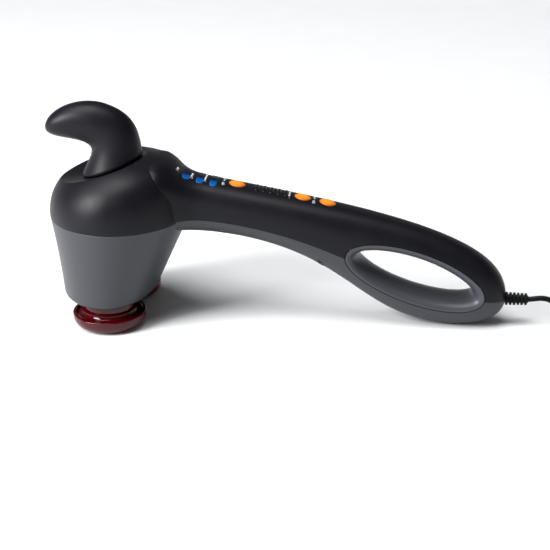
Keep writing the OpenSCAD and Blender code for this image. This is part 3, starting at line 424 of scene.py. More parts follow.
def applied(piece):
    # the piece's modifiers become its mesh
    graph = bpy.context.evaluated_depsgraph_get()
    graph.update()
    mesh = bpy.data.meshes.new_from_object(piece.evaluated_get(graph), depsgraph=graph)
    piece.modifiers.clear()
    piece.data = mesh
    mesh.name = piece.name
    return piece


def carve(piece, shapes, how="DIFFERENCE"):
    # takes solids away from a piece, or adds them to it, and gives it back its one finish
    finish = piece.data.materials[0]
    tools = [newPiece("tool", shape, None, 0) for shape in shapes]
    for tool in tools:
        step = piece.modifiers.new("carve", "BOOLEAN")
        step.operation, step.object, step.solver = how, tool, "MANIFOLD"
    applied(piece)
    for tool in tools:
        bpy.data.objects.remove(tool)
    piece.data.materials.clear()
    piece.data.materials.append(finish)
    piece.data.polygons.foreach_set("material_index", [0] * len(piece.data.polygons))
    piece.data.shade_smooth()
    piece.data.set_sharp_from_angle(angle=math.radians(usualSharp))


def settle(piece, body, slot, *nodes):
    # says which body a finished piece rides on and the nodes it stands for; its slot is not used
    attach(piece, body)
    if nodes:
        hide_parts(*nodes)
    print(piece.name, len(piece.data.polygons), "faces")


head = {
    "joint": 94, "floor": 22.5, "rise": 52.5,
    # each pair is at the floor and at the joint of dome and body
    "halfDepth": (61.8, 68), "nose": (46.6, 55.6), "heel": (36.3, 69), "widestAt": (1, 5.9),
    "square": (1.95, 1.9), "domeSquare": 2.55, "lean": 12.5,
    "noseBend": (0.55, 0.45),  # straight and curved share of the nose's widening
    "wall": 2.5, "round": 3.0, "seam": 0.22, "sides": 160,
}
seat = {
    "lean": 17, "middle": (-4.9, 0, 135), "rim": 36.7, "deep": 5, "lip": 0.45,
    "spindle": 6.0, "play": 0.1,
    "backing": 0.5, "innerLip": 0.5,  # the bowl's inside: thicker by this, and softer
    "reach": 70, "depth": -25,  # how far out and down the bowl is looked for
}
nodes = {
    "pitch": 69, "disc": 32.2, "neck": 22.5, "thick": 12.5, "round": 9, "top": 31, "hole": 24.8,
    "face": 10, "rim": 0.7, "bevel": 0.4, "wall": 2.5,
    "groove": (25.9, 14.9, 4.4),  # middle across, middle up, radius
}


def mixed(pair, f):
    return pair[0] + (pair[1] - pair[0]) * f


def bodyRing(z, inset=0.0):
    # outline of the grey body at a height
    u = (z - head["floor"]) / (head["joint"] - head["floor"])
    c = mixed(head["widestAt"], u)
    straight, curved = head["noseBend"]
    left = mixed(head["nose"], straight * u + curved * u * u) + c - inset
    right = mixed(head["heel"], u) - c - inset
    p = oval(head["sides"], mixed(head["square"], u))
    x = c + np.where(p[:, 0] < 0, left, right) * p[:, 0]
    return np.stack([x, (mixed(head["halfDepth"], u) - inset) * p[:, 1], np.full(len(p), z)], 1)


def domeRing(angle, inset=0.0, low=0.0):
    # outline of the dome at an angle of its rise, 0 at the joint and 90 at the crown
    a = math.radians(angle)
    up = math.sin(a) ** (2 / head["domeSquare"])
    wide = max(math.cos(a), 0) ** (2 / head["domeSquare"])
    c = head["widestAt"][1] + head["lean"] * up * up
    left = head["nose"][1] + head["widestAt"][1] - inset
    right = head["heel"][1] - head["widestAt"][1] - inset
    p = oval(head["sides"], head["square"][1])
    x = c + np.where(p[:, 0] < 0, left, right) * wide * p[:, 0]
    y = (head["halfDepth"][1] - inset) * wide * p[:, 1]
    return np.stack([x, y, np.full(len(p), head["joint"] + (head["rise"] - inset) * up - low)], 1)


seatTurn = math.radians(seat["lean"])
seatUp = np.array([-math.sin(seatTurn), 0, math.cos(seatTurn)])
seatPlace = frameAt(seat["middle"], [math.cos(seatTurn), 0, math.sin(seatTurn)], seatUp)
bowl = (seat["rim"] ** 2 + seat["deep"] ** 2) / (2 * seat["deep"])  # radius


def dished(points, grow, lip):
    # sinks what stands above the seat's bowl into it, with a rounded lip
    turnTo, origin = seatPlace
    p = (points - origin) @ turnTo
    reach = np.hypot(p[:, 0], p[:, 1])
    floor = bowl - seat["deep"] - np.sqrt(np.maximum((bowl + grow) ** 2 - reach**2, 1))
    over = p[:, 2] - floor
    eased = lip * np.log1p(np.exp(np.clip(over / lip, -30, 30)))
    sunk = np.where(over > 20 * lip, over, eased)
    p[:, 2] -= np.where((reach < seat["reach"]) & (p[:, 2] > seat["depth"]), sunk, 0)
    return p @ turnTo.T + origin


# rings lie closest near the crown, where the seat is sunk into it
domeAngles = np.concatenate([[0.9, 1.8], np.linspace(3, 40, 26), np.linspace(41, 89.6, 82)])
domeRings = [domeRing(0, head["seam"], -0.05)] + [domeRing(a) for a in domeAngles]
points, faces = loft(domeRings)
dome = newPiece("dome_shell", (dished(points, 0, seat["lip"]), faces), softTouch)
hollow = [domeRing(0, head["wall"], 1)]
hollow += [domeRing(a, head["wall"]) for a in np.linspace(0, 89, 40)]
points, faces = loft(hollow)
carve(dome, [(dished(points, head["wall"] + seat["backing"], seat["innerLip"]), faces),
             rod(seatPlace, seat["spindle"] + seat["play"], -30, 30)])
settle(dome, "housing", "soft_black_shell", "head_dome")

upright = np.eye(3)
screws = {
    "post": 4.5, "well": 3.1, "bore": 1.6,  # radii
    # x, y, foot, floor of the well, top, and the slope of the foot along x and outwards
    "body": [(x, 24, head["floor"] + 0.8, 80, head["joint"] - 0.2, (0, 0)) for x in (-30, 28)],
    "base": [(100, 15, 82.4, 86.64, 93.3, (-0.12, 0.56)),
             (186, 15, 57.1, 64.58, 72.5, (-0.54, 0.92))],
}


def screwPost(x, y, foot, top, slope):
    # its foot slopes with the shell it stands on
    a = np.linspace(0, 2 * math.pi, 48, endpoint=False)
    ring = np.stack([x + screws["post"] * np.cos(a), y + screws["post"] * np.sin(a)], 1)
    low = foot + slope[0] * (ring[:, 0] - x) + slope[1] * (np.abs(ring[:, 1]) - abs(y))
    return loft([np.column_stack([ring, low]), np.column_stack([ring, np.full(len(ring), top)])])


def screwWells(piece, places):
    # a post on either side of the middle, with a well from below for a screw's head and a bore
    # on for its shank
    posts = [(x, side * y, *rest) for x, y, *rest in places for side in (-1, 1)]
    carve(piece, [screwPost(x, y, foot, top, slope) for x, y, foot, _, top, slope in posts],
          "UNION")
    tools = []
    for x, y, foot, stop, top, _ in posts:
        at = (upright, np.array([x, y, 0]))
        tools += [rod(at, screws["well"], foot - 12, stop, 48),
                  rod(at, screws["bore"], stop - 1, top + 1, 24)]
    carve(piece, tools)


low = head["floor"]
foot = [bodyRing(low + head["round"] * (1 - math.cos(a)), head["round"] * (1 - math.sin(a)))
        for a in np.linspace(0, math.pi / 2, 8)]
wallRings = [bodyRing(z) for z in np.linspace(low + head["round"] + 1.5, head["joint"] - 0.3, 44)]
closing = bodyRing(head["joint"] - 0.05, head["seam"])
body = newPiece("body_shell", loft(foot + wallRings + [closing]), greyLacquer)
inner = [bodyRing(z, head["wall"]) for z in np.linspace(low + head["wall"], head["joint"] + 1, 24)]
holes = [rod((upright, np.array([0, side * nodes["pitch"] / 2, 0])), nodes["hole"],
             low - 4, low + 8, 128) for side in (-1, 1)]
carve(body, [loft(inner)] + holes)
screwWells(body, screws["body"])
settle(body, "housing", "grey_shell", "head_body")

knob = {
    "sides": 72, "rows": 110, "square": 2.1, "gap": 0.3,
    # outer line from the seat over the crown to the tip, then the inner one to the same tip
    "back": [[33, 134], [22, 152], [34, 177], [-1.2, 189.2]],
    "crown": [[-1.2, 189.2], [-24.6, 198], [-56.1, 183.8], [-56.1, 169]],
    "heel": [[-27, 124], [-21, 140], [-11, 149.5], [-19.5, 155]],
    "palm": [[-19.5, 155], [-30, 161.5], [-56.1, 158], [-56.1, 169]],
    "thumb": 17, "foot": 10,  # half of its width, and what the foot adds to that
    "footEnd": 0.45,  # part of the way to the tip
    "soft": 3.8,  # rounding of the foot's edge
    "reach": 60,  # of the bowl that shapes its underside
}


def knobRing(t):
    # section at a part of the way from the seat to the tip
    u = 2 * t
    outer = curveAt(knob["back"], u) if u < 1 else curveAt(knob["crown"], u - 1)
    innerLine = curveAt(knob["heel"], u) if u < 1 else curveAt(knob["palm"], u - 1)
    mid, reach = (outer + innerLine) / 2, (outer - innerLine) / 2
    half = (knob["thumb"] + knob["foot"] * max(0, 1 - t / knob["footEnd"]) ** 2) * (1 - t**8)
    p = oval(knob["sides"], knob["square"])
    ring = np.stack([mid[0] + reach[0] * p[:, 0], half * p[:, 1], mid[1] + reach[1] * p[:, 0]], 1)
    if t > knob["footEnd"]:
        return ring
    # the foot's edge turns in where it meets the seat
    turnTo, origin = seatPlace
    local = (ring - origin) @ turnTo
    floor = bowl - seat["deep"] - np.sqrt(np.maximum(bowl**2 - local[:, 0]**2 - local[:, 1]**2, 1))
    soft = knob["soft"]
    low = soft - np.clip(local[:, 2] - floor, 0, soft)
    inward = soft - np.sqrt(soft**2 - low**2)
    centre = np.array([mid[0], 0, mid[1]])
    away = ring - centre
    return centre + away * (1 - inward / np.linalg.norm(away, axis=1))[:, None]


# rings lie closer towards the tip, which closes just short of the end of its lines
steps = np.concatenate([np.linspace(0, 0.9, knob["rows"]),
                        1 - 0.1 * (1 - np.linspace(0, 1, 26)[1:]) ** 2 * 0.999])
steps = np.minimum(steps, 0.9992)
knobPiece = newPiece("swivel_knob", loft([knobRing(t) for t in steps]), softTouch)
edge = np.linspace(0, knob["reach"], 60)
cap = [(r, bowl - seat["deep"] - math.sqrt((bowl - knob["gap"]) ** 2 - r * r)) for r in edge]
cap += [(knob["reach"], 120), (0, 120)]
carve(knobPiece, [lathe(cap, seatPlace, 160)], "INTERSECT")
carve(knobPiece, [rod(seatPlace, seat["spindle"], -20, 7)])
settle(knobPiece, "knob", "soft_black_shell", "hook_knob")

handle = {
    "end": 349, "width": 46.4, "sides": 128, "rows": 190, "wall": 2.5, "seam": 0.3,
    "neckAt": 34, "flare": 17.5, "flareAt": 13, "flareSpan": 18,
    "rise": 6.8, "riseAt": 41, "riseSpan": 17,
    "top": [[34, 135.4], [186.5, 108], [349, 90.7], [349, 26]],
    "under": [[50, 81], [215.4, 83], [206.6, 0], [304.6, 0]],
    "underHeel": [[304.6, 0], [333.6, 0], [349, 11], [349, 26]],
    "pace": (0.85, 0.5, 0.65),  # how the under line is travelled while the top line is
    "joint": [[48, 94.8], [95, 98], [150, 89], [207.8, 64.1]],
    # how boxy the section is: least, what the neck adds, where that starts to fade and over what
    "upper": (2.6, 2.7, 52, 14),
    "lower": (2.5, 0.4, 70, 20),
}
# where the cover laps over the dome: how proud it is and how softly it rises
collar = {
    "over": 0.3, "blend": 1.2, "lift": 1.3, "leave": 9,
    "reach": 76,  # nothing is lifted past this
    "sides": (6, 14),  # where the sides' own lift starts across it, and over what it grows
    "crown": (0.72, 0.22),  # where in its half height the crown starts, and over what it grows
    # its edge as (x, half of y)
    "edge": [(46.5, 0), (44.4, 6.4), (41.7, 12), (40, 17), (39.4, 24), (40.3, 30.6),
             (44.4, 36.6), (49, 40), (50.5, 46)],
}
loop = {
    "middle": (268.5, 47.4), "tilt": 18.5, "gap": 0.8, "wall": 2.2, "sides": 160,
    # half lengths and squareness of the opening at its waist and at the shell's face
    "face": (63.5, 23.5), "waist": (52.7, 14), "square": (1.85, 2.05),
    "jointAt": (60.5, -19.9),  # where the joint of the shells leaves it, from its middle
}


def topPoint(t):
    p = curveAt(handle["top"], t)
    lift = handle["rise"] * math.exp(-((p[0] - handle["riseAt"]) / handle["riseSpan"]) ** 2)
    return p + np.array([0, lift])


def lowPoint(t):
    a, b, c = handle["pace"]
    u = a * t + b * t * t + c * max(t, 0) ** 6
    return curveAt(handle["under"], u) if u < 1 else curveAt(handle["underHeel"], min(u - 1, 1))


def halfWidth(x):
    off = (x - handle["neckAt"] - handle["flareAt"]) / handle["flareSpan"]
    return handle["width"] / 2 + handle["flare"] * np.exp(-off ** 2)


def squareAt(part, x):
    least, extra, start, span = handle[part]
    return least + extra * min(1, math.exp((start - x) / span))


def handleRing(t, inset=0.0, sides=None):
    # section between the top line and the under line
    top, under = topPoint(t), lowPoint(t)
    mid, tall = (top + under) / 2, np.linalg.norm(top - under) / 2
    up = (top - under) / (2 * tall)
    sides = sides or handle["sides"]
    upper, lower = oval(sides, squareAt("upper", mid[0])), oval(sides, squareAt("lower", mid[0]))
    p = np.where(np.arange(sides)[:, None] < sides / 2, upper, lower)
    at = mid + up * ((tall - inset) * p[:, 1])[:, None]
    closing = 1 - max(t, 0) ** 10
    return np.stack([at[:, 0], (halfWidth(at[:, 0]) * closing - inset) * p[:, 0], at[:, 1]], 1)


def domeHeight(x, y):
    # height of the dome's skin over each point, or nothing much outside its outline
    low, high = np.zeros(len(x)), np.full(len(x), 89.5)
    for _ in range(26):
        mid = np.radians((low + high) / 2)
        up, wide = np.sin(mid) ** (2 / head["domeSquare"]), np.cos(mid) ** (2 / head["domeSquare"])
        c = head["widestAt"][1] + head["lean"] * up * up
        side = np.where(x < c, head["nose"][1] + head["widestAt"][1],
                        head["heel"][1] - head["widestAt"][1])
        inside = (np.abs(x - c) / (side * wide)) ** head["square"][1] + (
            np.abs(y) / (head["halfDepth"][1] * wide)) ** head["square"][1] < 1
        low, high = np.where(inside, np.degrees(mid), low), np.where(inside, high, np.degrees(mid))
    up = np.sin(np.radians(low)) ** (2 / head["domeSquare"])
    return head["joint"] + head["rise"] * up


def swell(points, share):
    # lifts the cover's crown smoothly over the dome, and lays it on the dome near its edge;
    # share says how much of each point is crown
    points = points.copy()
    near = (points[:, 0] < collar["reach"]) & (share > 0)
    x, y, z = points[near].T
    skin = domeHeight(x, y) + collar["over"]
    start, span = collar["sides"]
    sides = np.clip((np.abs(y) - start) / span, 0, 1)
    under = skin + collar["lift"] * sides - z
    raised = z + collar["blend"] * np.log1p(np.exp(np.clip(under / collar["blend"], -30, 30)))
    edge = np.array(collar["edge"])
    left = 1 - np.clip((x - np.interp(np.abs(y), edge[:, 1], edge[:, 0])) / collar["leave"], 0, 1)
    points[near, 2] += share[near] * (skin + (raised - skin) * (1 - left**2) - z)
    return points


def handleSolid():
    # rings lie closest at the neck and round the end
    t = np.concatenate([np.linspace(0, 0.108, 60),
                        np.linspace(0.108, 0.8, handle["rows"] - 80)[1:],
                        0.8 + 0.1985 * np.sin(np.linspace(0, math.pi / 2, 42))[1:]])
    start, span = collar["crown"]
    crown = np.clip((oval(handle["sides"], 3.6)[:, 1] - start) / span, 0, 1)
    crown = crown * crown * (3 - 2 * crown)
    return loft([swell(handleRing(k), crown) for k in t])


def handleHollow():
    return loft([handleRing(k, handle["wall"], 64) for k in np.linspace(-0.03, 0.955, 70)])


def topAt(x):
    # position on the top line above x
    a, b = 0.0, 1.0
    for _ in range(40):
        m = (a + b) / 2
        a, b = (m, b) if curveAt(handle["top"], m)[0] < x else (a, m)
    return a


def deckAt(x):
    # frame on the top line: local X along the handle, local Z out of the cover
    t = topAt(x)
    p, d = topPoint(t), topPoint(t + 0.001) - topPoint(t - 0.001)
    d /= np.linalg.norm(d)
    return frameAt([p[0], 0, p[1]], [d[0], 0, d[1]], [-d[1], 0, d[0]])


def onCover(x, y, above=0.0):
    # point on the cover's upper face, and as much above it
    t = topAt(x)
    top, under = topPoint(t), lowPoint(t)
    tall = np.linalg.norm(top - under) / 2
    up = (top - under) / (2 * tall)
    share = min(abs(y) / halfWidth(top[0]), 0.999)
    square = squareAt("upper", ((top + under) / 2)[0])
    drop = tall * (1 - (1 - share**square) ** (1 / square)) - above
    return swell(np.array([[top[0] - up[0] * drop, y, top[1] - up[1] * drop]]), np.ones(1))[0]


def loopRing(blend, sides, grow=0.0):
    # outline of the grip's opening, from its waist at 0 to the shell's face at 1
    a = mixed((loop["waist"][0], loop["face"][0]), blend) + grow
    b = mixed((loop["waist"][1], loop["face"][1]), blend) + grow
    p = oval(sides, mixed(loop["square"], blend)) * [a, b]
    tilt = math.radians(loop["tilt"])
    return np.stack([loop["middle"][0] + p[:, 0] * math.cos(tilt) + p[:, 1] * math.sin(tilt),
                     loop["middle"][1] - p[:, 0] * math.sin(tilt) + p[:, 1] * math.cos(tilt)], 1)


def jointSide(upper):
    # everything on one side of the joint between cover and base
    line = [[20, handle["joint"][0][1]]]
    line += [list(curveAt(handle["joint"], k / 40)) for k in range(41)]
    line += [[loop["middle"][0] + loop["jointAt"][0], loop["middle"][1] + loop["jointAt"][1]],
             [handle["end"] + 20, relief["exit"]]]
    shift = -handle["seam"] / 2 if upper else handle["seam"] / 2
    far = 174 if upper else -40
    outline = [[x, z + shift] for x, z in line] + [[handle["end"] + 20, far], [20, far]]
    return slab(outline, -100, 100, 1)


def collarCut():
    # what is taken off the cover in front of its lap over the dome
    edge = smoothThrough(collar["edge"], 6)
    outline = [(x, -y) for x, y in edge[::-1]] + [(x, y) for x, y in edge[1:]]
    return slab(outline + [(20, 46), (20, -46)], 121, 160, 2)


def slotRing(long, wide, inset):
    # round-ended outline, long across the handle
    a = np.linspace(0, 2 * math.pi, 48, endpoint=False)
    r = max(wide / 2 - inset, 0.02)
    y = r * np.sin(a) + np.sign(np.round(np.sin(a), 6)) * (long - wide) / 2
    return np.stack([r * np.cos(a), y], 1)


def slotTool(x, size):
    turnTo, origin = deckAt(x)
    outline = slotRing(size["long"] + size["gap"], size["wide"] + size["gap"], 0)
    return loft([np.column_stack([outline, np.full(len(outline), h)]) @ turnTo.T + origin
                 for h in (-8, 8)])


keys = {
    "at": (111.3, 168.7, 190.4), "across": 15.0, "proud": 1.3, "gap": 0.35,
    "crown": 24.0,  # radius of its top
    "under": -3.8, "flange": 8.5, "flangeThick": 1.2, "stem": 1.7, "stemEnd": -6.4,
}
windows = {
    "at": (67.5, 79.3, 91.0), "long": 27.0, "wide": 6.6, "proud": 0.35,
    "gap": 0.5, "soft": 0.5, "deep": 3.5,
}
levels = {
    "at": (128.5, 134.9, 141.3, 147.7, 154.1), "long": 15.0, "wide": 3.2, "proud": 0.9,
    "gap": 0.3, "soft": 0.8, "deep": 3, "curveFrom": 140,  # where the cover's curve is taken
}
relief = {
    "exit": 23.6, "hole": 4.15, "root": 4.0, "tip": 3.4, "long": 20.0, "lip": 0.4,
    "shoulder": 5.2, "shoulderFrom": -7.4, "shoulderTo": -5.2,
    "ribs": 6, "ribWide": 5.85, "ribInside": 3.2, "ribFill": 0.62, "ribSoft": 0.5,
    "ribTaper": 0.02, "ribGap": 0.02, "play": 0.15,
}
reliefPlace = frameAt([handle["end"], 0, relief["exit"]], [0, 0, -1], [1, 0, 0])
reliefHole = rod(reliefPlace, relief["hole"], -12, 6, 48)
domeTool = loft([domeRing(a, -0.1) for a in np.concatenate([[0], domeAngles])])
bodyTool = loft([bodyRing(z, -0.05) for z in np.linspace(head["floor"], head["joint"] + 0.6, 30)])


def shellTools(upper):
    # what both shells of the handle lose
    opening = slab(loopRing(1, loop["sides"], loop["gap"]), -60, 60, 1)
    return [handleHollow(), jointSide(upper), opening, domeTool]


cover = newPiece("handle_cover_shell", handleSolid(), softTouch)
tools = shellTools(False) + [collarCut()]
tools += [rod(deckAt(x), keys["across"] / 2 + keys["gap"], -8, 8, 72) for x in keys["at"]]
tools += [slotTool(x, windows) for x in windows["at"]]
tools += [slotTool(x, levels) for x in levels["at"]]
carve(cover, tools + [reliefHole])
settle(cover, "housing", "soft_black_shell", "handle_cover")

base = newPiece("handle_base_shell", handleSolid(), greyLacquer)
carve(base, shellTools(True) + [bodyTool, reliefHole])
screwWells(base, screws["base"])
settle(base, "housing", "grey_shell", "handle_base")


def sideWidth(x, z):
    # half width of the handle's side face at a point of the side view
    a, b = 0.3, 0.999
    for _ in range(30):
        t = (a + b) / 2
        top, under = topPoint(t), lowPoint(t)
        d, e = top - under, np.array([x, z]) - under
        a, b = (t, b) if d[0] * e[1] - d[1] * e[0] < 0 else (a, t)
    mid = (top + under) / 2
    f = min(2 * np.linalg.norm([x - mid[0], z - mid[1]]) / np.linalg.norm(top - under), 0.999)
    square = squareAt("upper" if z > mid[1] else "lower", mid[0])
    return halfWidth(x) * (1 - t**10) * (1 - f**square) ** (1 / square)


rim = np.array([sideWidth(x, z) for x, z in loopRing(1, loop["sides"])])


def linerRing(angle, outer):
    # ring across the liner, on its outer side or on the side that faces the opening
    wall = loop["wall"] if outer else 0
    ring = loopRing(1 - math.cos(angle), loop["sides"], wall * math.cos(angle))
    return np.stack([ring[:, 0], (rim - wall) * math.sin(angle), ring[:, 1]], 1)


turnsIn = np.linspace(-math.pi / 2, math.pi / 2, 40)
linerRings = [linerRing(a, False) for a in turnsIn] + [linerRing(a, True) for a in turnsIn[::-1]]
liner = newPiece("loop_liner_ring", loft(linerRings, True), linerLacquer)
settle(liner, "housing", "grey_shell", "loop_liner")


def arc(middle, radius, start, end, count):
    # points of a profile along an arc, angles in degrees
    x, y = middle
    return [(x + radius * math.cos(math.radians(a)), y + radius * math.sin(math.radians(a)))
            for a in np.linspace(start, end, count)]


def nodeProfile():
    # from the middle of the face round the disc and its groove, up the neck and back inside
    r, thick, soft, edge = nodes["disc"], nodes["thick"], nodes["round"], nodes["rim"]
    neck, top, bevel = nodes["neck"], nodes["top"], nodes["bevel"]
    gx, gz, gr = nodes["groove"]
    bite = math.degrees(math.asin((gz - thick) / gr))
    turned = math.degrees(math.atan2(math.sqrt(gr**2 - (gx - neck) ** 2), gx - neck))
    line = [(0, 0), (nodes["face"], 0), (r - soft - 4, 0)] + arc((r - soft, soft), soft, -90, 0, 20)
    line += arc((r - edge, thick - edge), edge, 0, 90, 6)
    line += arc((gx, gz), gr, -bite, -180 - turned, 24)
    line += [(neck, top - bevel), (neck - bevel, top)]
    inside, floor = neck - nodes["wall"], nodes["wall"] + 1
    return line + [(inside, top), (inside, floor), (0, floor)]


for side, name in ((1, "left"), (-1, "right")):
    place = (upright, np.array([0, side * nodes["pitch"] / 2, 0]))
    piece = newPiece("node_lens_" + name, lathe(nodeProfile(), place, 144), redLens, 35)
    settle(piece, "rocker", "red_lens", "node_cap_" + name)


def keyProfile():
    # from the crown down to the stem, closed on the axis below
    r, crown, under = keys["across"] / 2, keys["crown"], keys["under"]
    line = [(0, keys["proud"])]
    line += [(x, keys["proud"] - crown + math.sqrt(crown**2 - x * x))
             for x in np.linspace(0.5, r - 1.1, 14)]
    edge = line[-1][1] - 0.25
    line += [(r - 0.55, edge + 0.02), (r - 0.2, edge - 0.3), (r, edge - 0.8)]
    line += [(r, under), (keys["flange"], under), (keys["flange"], under - keys["flangeThick"])]
    line += [(keys["stem"], under - keys["flangeThick"]), (keys["stem"], keys["stemEnd"])]
    return line + [(0, keys["stemEnd"])]


for x, name in zip(keys["at"], ("power", "speed", "heat")):
    place = deckAt(x)
    piece = newPiece(name + "_key", lathe(keyProfile()[::-1], place, 96), orangeKey, 50)
    # painted shade: the colour darkens with how far a point is from the middle, and is darkest on
    # the skirt
    skirt = piece.data.attributes.new("skirt", "FLOAT", "POINT")
    points = np.array([v.co for v in piece.data.vertices]) * 1000 + [nodeLine, 0, 0]
    local = (points - place[1]) @ place[0]
    away = np.hypot(local[:, 0], local[:, 1]) / (keys["across"] / 2)
    skirt.data.foreach_set("value", np.where(local[:, 2] < -0.6, 1, away).astype(np.float32))
    settle(piece, name + "_key", "orange_key", name + "_button")


def windowShape(x):
    # round-ended bar that follows the cover: top with a soft edge, straight sides below
    long, wide, soft = windows["long"], windows["wide"], windows["soft"]
    rings = [(slotRing(long, wide, wide / 2 * (1 - f)), windows["proud"])
             for f in (0.04, 0.3, 0.55, 0.8)]
    for a in np.linspace(90, 0, 5):
        rings.append((slotRing(long, wide, soft * (1 - math.cos(math.radians(a)))),
                      windows["proud"] - soft * (1 - math.sin(math.radians(a)))))
    rings.append((slotRing(long, wide, 0), -windows["deep"]))
    return loft([np.array([onCover(x + u, v, above) for u, v in ring]) for ring, above in rings])


def joined(shapes):
    # several solids as one
    points, faces, count = [], [], 0
    for p, f in shapes:
        points.append(p)
        faces += [tuple(i + count for i in face) for face in f]
        count += len(p)
    return np.vstack(points), faces


windowSet = newPiece("light_window_set", joined([windowShape(x) for x in windows["at"]]),
                     blueWindow, 45)
settle(windowSet, "housing", "blue_window", "light_windows")


def repeated(name, shape, places, finish, sharp):
    # Geometry Nodes: one shape set at each place, realised into a plain mesh; a place is where
    # it stands, its turn and its size
    item = newPiece("item", shape, finish, sharp)
    tree = bpy.data.node_groups.new(name, "GeometryNodeTree")
    put = tree.interface.new_socket
    put("Geometry", in_out="INPUT", socket_type="NodeSocketGeometry")
    itemInput = put("Item", in_out="INPUT", socket_type="NodeSocketObject")
    finishInput = put("Finish", in_out="INPUT", socket_type="NodeSocketMaterial")
    put("Geometry", in_out="OUTPUT", socket_type="NodeSocketGeometry")
    start, end = addNode(tree, "NodeGroupInput"), addNode(tree, "NodeGroupOutput")
    shapeInfo = addNode(tree, "GeometryNodeObjectInfo", None, {"Object": start.outputs["Item"]})
    turn, size = (addNode(tree, "GeometryNodeInputNamedAttribute",
                          {"data_type": "FLOAT_VECTOR", "Name": key}) for key in ("turn", "size"))
    euler = addNode(tree, "FunctionNodeEulerToRotation", None, {0: turn.outputs["Attribute"]})
    spread = addNode(tree, "GeometryNodeInstanceOnPoints", None,
                     {"Points": start.outputs["Geometry"],
                      "Instance": shapeInfo.outputs["Geometry"],
                      "Rotation": euler.outputs[0], "Scale": size.outputs["Attribute"]})
    real = addNode(tree, "GeometryNodeRealizeInstances", None, {"Geometry": spread.outputs[0]})
    paint = addNode(tree, "GeometryNodeSetMaterial", None,
                    {"Geometry": real.outputs[0], "Material": start.outputs["Finish"]})
    tree.links.new(paint.outputs[0], end.inputs[0])
    mesh = bpy.data.meshes.new(name)
    mesh.from_pydata(toFrame([p for p, _, _ in places]).tolist(), [], [])
    for key, column in (("turn", 1), ("size", 2)):
        kept = mesh.attributes.new(key, "FLOAT_VECTOR", "POINT")
        kept.data.foreach_set("vector", np.array([p[column] for p in places], np.float32).ravel())
    piece = bpy.data.objects.new(name, mesh)
    bpy.context.collection.objects.link(piece)
    grow = piece.modifiers.new("repeat", "NODES")
    grow.node_group = tree
    grow[itemInput.identifier] = item
    grow[finishInput.identifier] = finish
    applied(piece)
    bpy.data.objects.remove(item)
    return piece


def localShape(shape):
    # shape in mm about its own middle, for repeated()
    return shape[0] + [nodeLine, 0, 0], shape[1]


def markShape():
    # level mark: a short bar with a rounded, raised back that falls to both ends
    long, wide, middle = levels["long"], levels["wide"], levels["curveFrom"]
    rings = [(slotRing(long, wide, wide / 2 * (1 - f)), 1 - 0.12 * f * f)
             for f in (0.03, 0.35, 0.65)]
    for a in np.linspace(75, 0, 6):
        rings.append((slotRing(long, wide, levels["soft"] * (1 - math.cos(math.radians(a)))),
                      0.3 + 0.6 * math.sin(math.radians(a))))
    rings.append((slotRing(long, wide, 0), -levels["deep"]))
    made = []
    for ring, height in rings:
        drop = [onCover(middle, v)[2] - onCover(middle, 0)[2] for _, v in ring]
        made.append(np.column_stack([ring, np.array(drop) + height * levels["proud"]]))
    return localShape(loft(made))


places = []
for x in levels["at"]:
    turnTo, origin = deckAt(x)
    places.append((origin, (0, math.atan2(-turnTo[2, 0], turnTo[0, 0]), 0), (1, 1, 1)))
marks = repeated("level_marks", markShape(), places, smokedWindow, 35)
settle(marks, "housing", "black_window", "level_windows")

# place along the handle, words with where each starts across it, bars from and to
legends = [
    (61.3, [("1", -9.2)], [(-6.0, -2.0)]),
    (73.2, [("2", -9.2)], [(-6.0, -2.0), (-1.0, 3.0)]),
    (85.1, [("3", -9.2)], [(-6.0, -2.0), (-1.0, 3.0), (4.0, 8.0)]),
    (100.9, [("OFF", -9.0), ("ON", 3.4)], [(0.4, 1.6)]),
    (158.3, [("-", -9.0), ("+", 6.6)], [(-5.4, -2.2), (-1.2, 2.0), (3.0, 6.2)]),
    (180.0, [("OFF", -9.0), ("ON", 3.4)], [(0.4, 1.6)]),
]
ink = {
    "letter": 3.3, "weight": 0.05, "bar": 1.5, "barFrom": 0.4,
    "lift": 0.05,  # of its underside above the cover
    "thick": 0.04,
}
shapes = []
for x, words, bars in legends:
    for word, start in words:
        font = bpy.data.curves.new("legend", "FONT")
        font.body, font.size, font.resolution_u = word, ink["letter"], 3
        font.offset = ink["weight"]
        holder = bpy.data.objects.new("legend", font)
        bpy.context.collection.objects.link(holder)
        flat = bpy.data.meshes.new_from_object(holder)
        points = np.array([onCover(x - v.co[1], start + v.co[0], ink["lift"])
                           for v in flat.vertices])
        shapes.append((points, [tuple(face.vertices) for face in flat.polygons]))
        bpy.data.objects.remove(holder)
        bpy.data.meshes.remove(flat)
    for start, end in bars:
        across = np.linspace(start, end, 7)
        along = (x - ink["barFrom"], x - ink["barFrom"] - ink["bar"])
        points = np.array([onCover(u, v, ink["lift"]) for v in across for u in along])
        shapes.append((points, [(2 * k, 2 * k + 2, 2 * k + 3, 2 * k + 1) for k in range(6)]))
printed = newPiece("printed_legends", joined(shapes), whitePrint, 0)
layer = printed.modifiers.new("thickness", "SOLIDIFY")
layer.thickness, layer.offset = ink["thick"] / 1000, 1
settle(applied(printed), "housing", None)  # ink on the cover, with no slot of its own


def tubeShape(profile, place, count=64):
    # turned ring from a closed profile of (radius, height)
    turnTo, origin = place
    a = np.linspace(0, 2 * math.pi, count, endpoint=False)
    rings = [np.stack([r * np.cos(a), r * np.sin(a), np.full(count, h)], 1) for r, h in profile]
    points, faces = loft(rings, True)
    return points @ turnTo.T + origin, faces


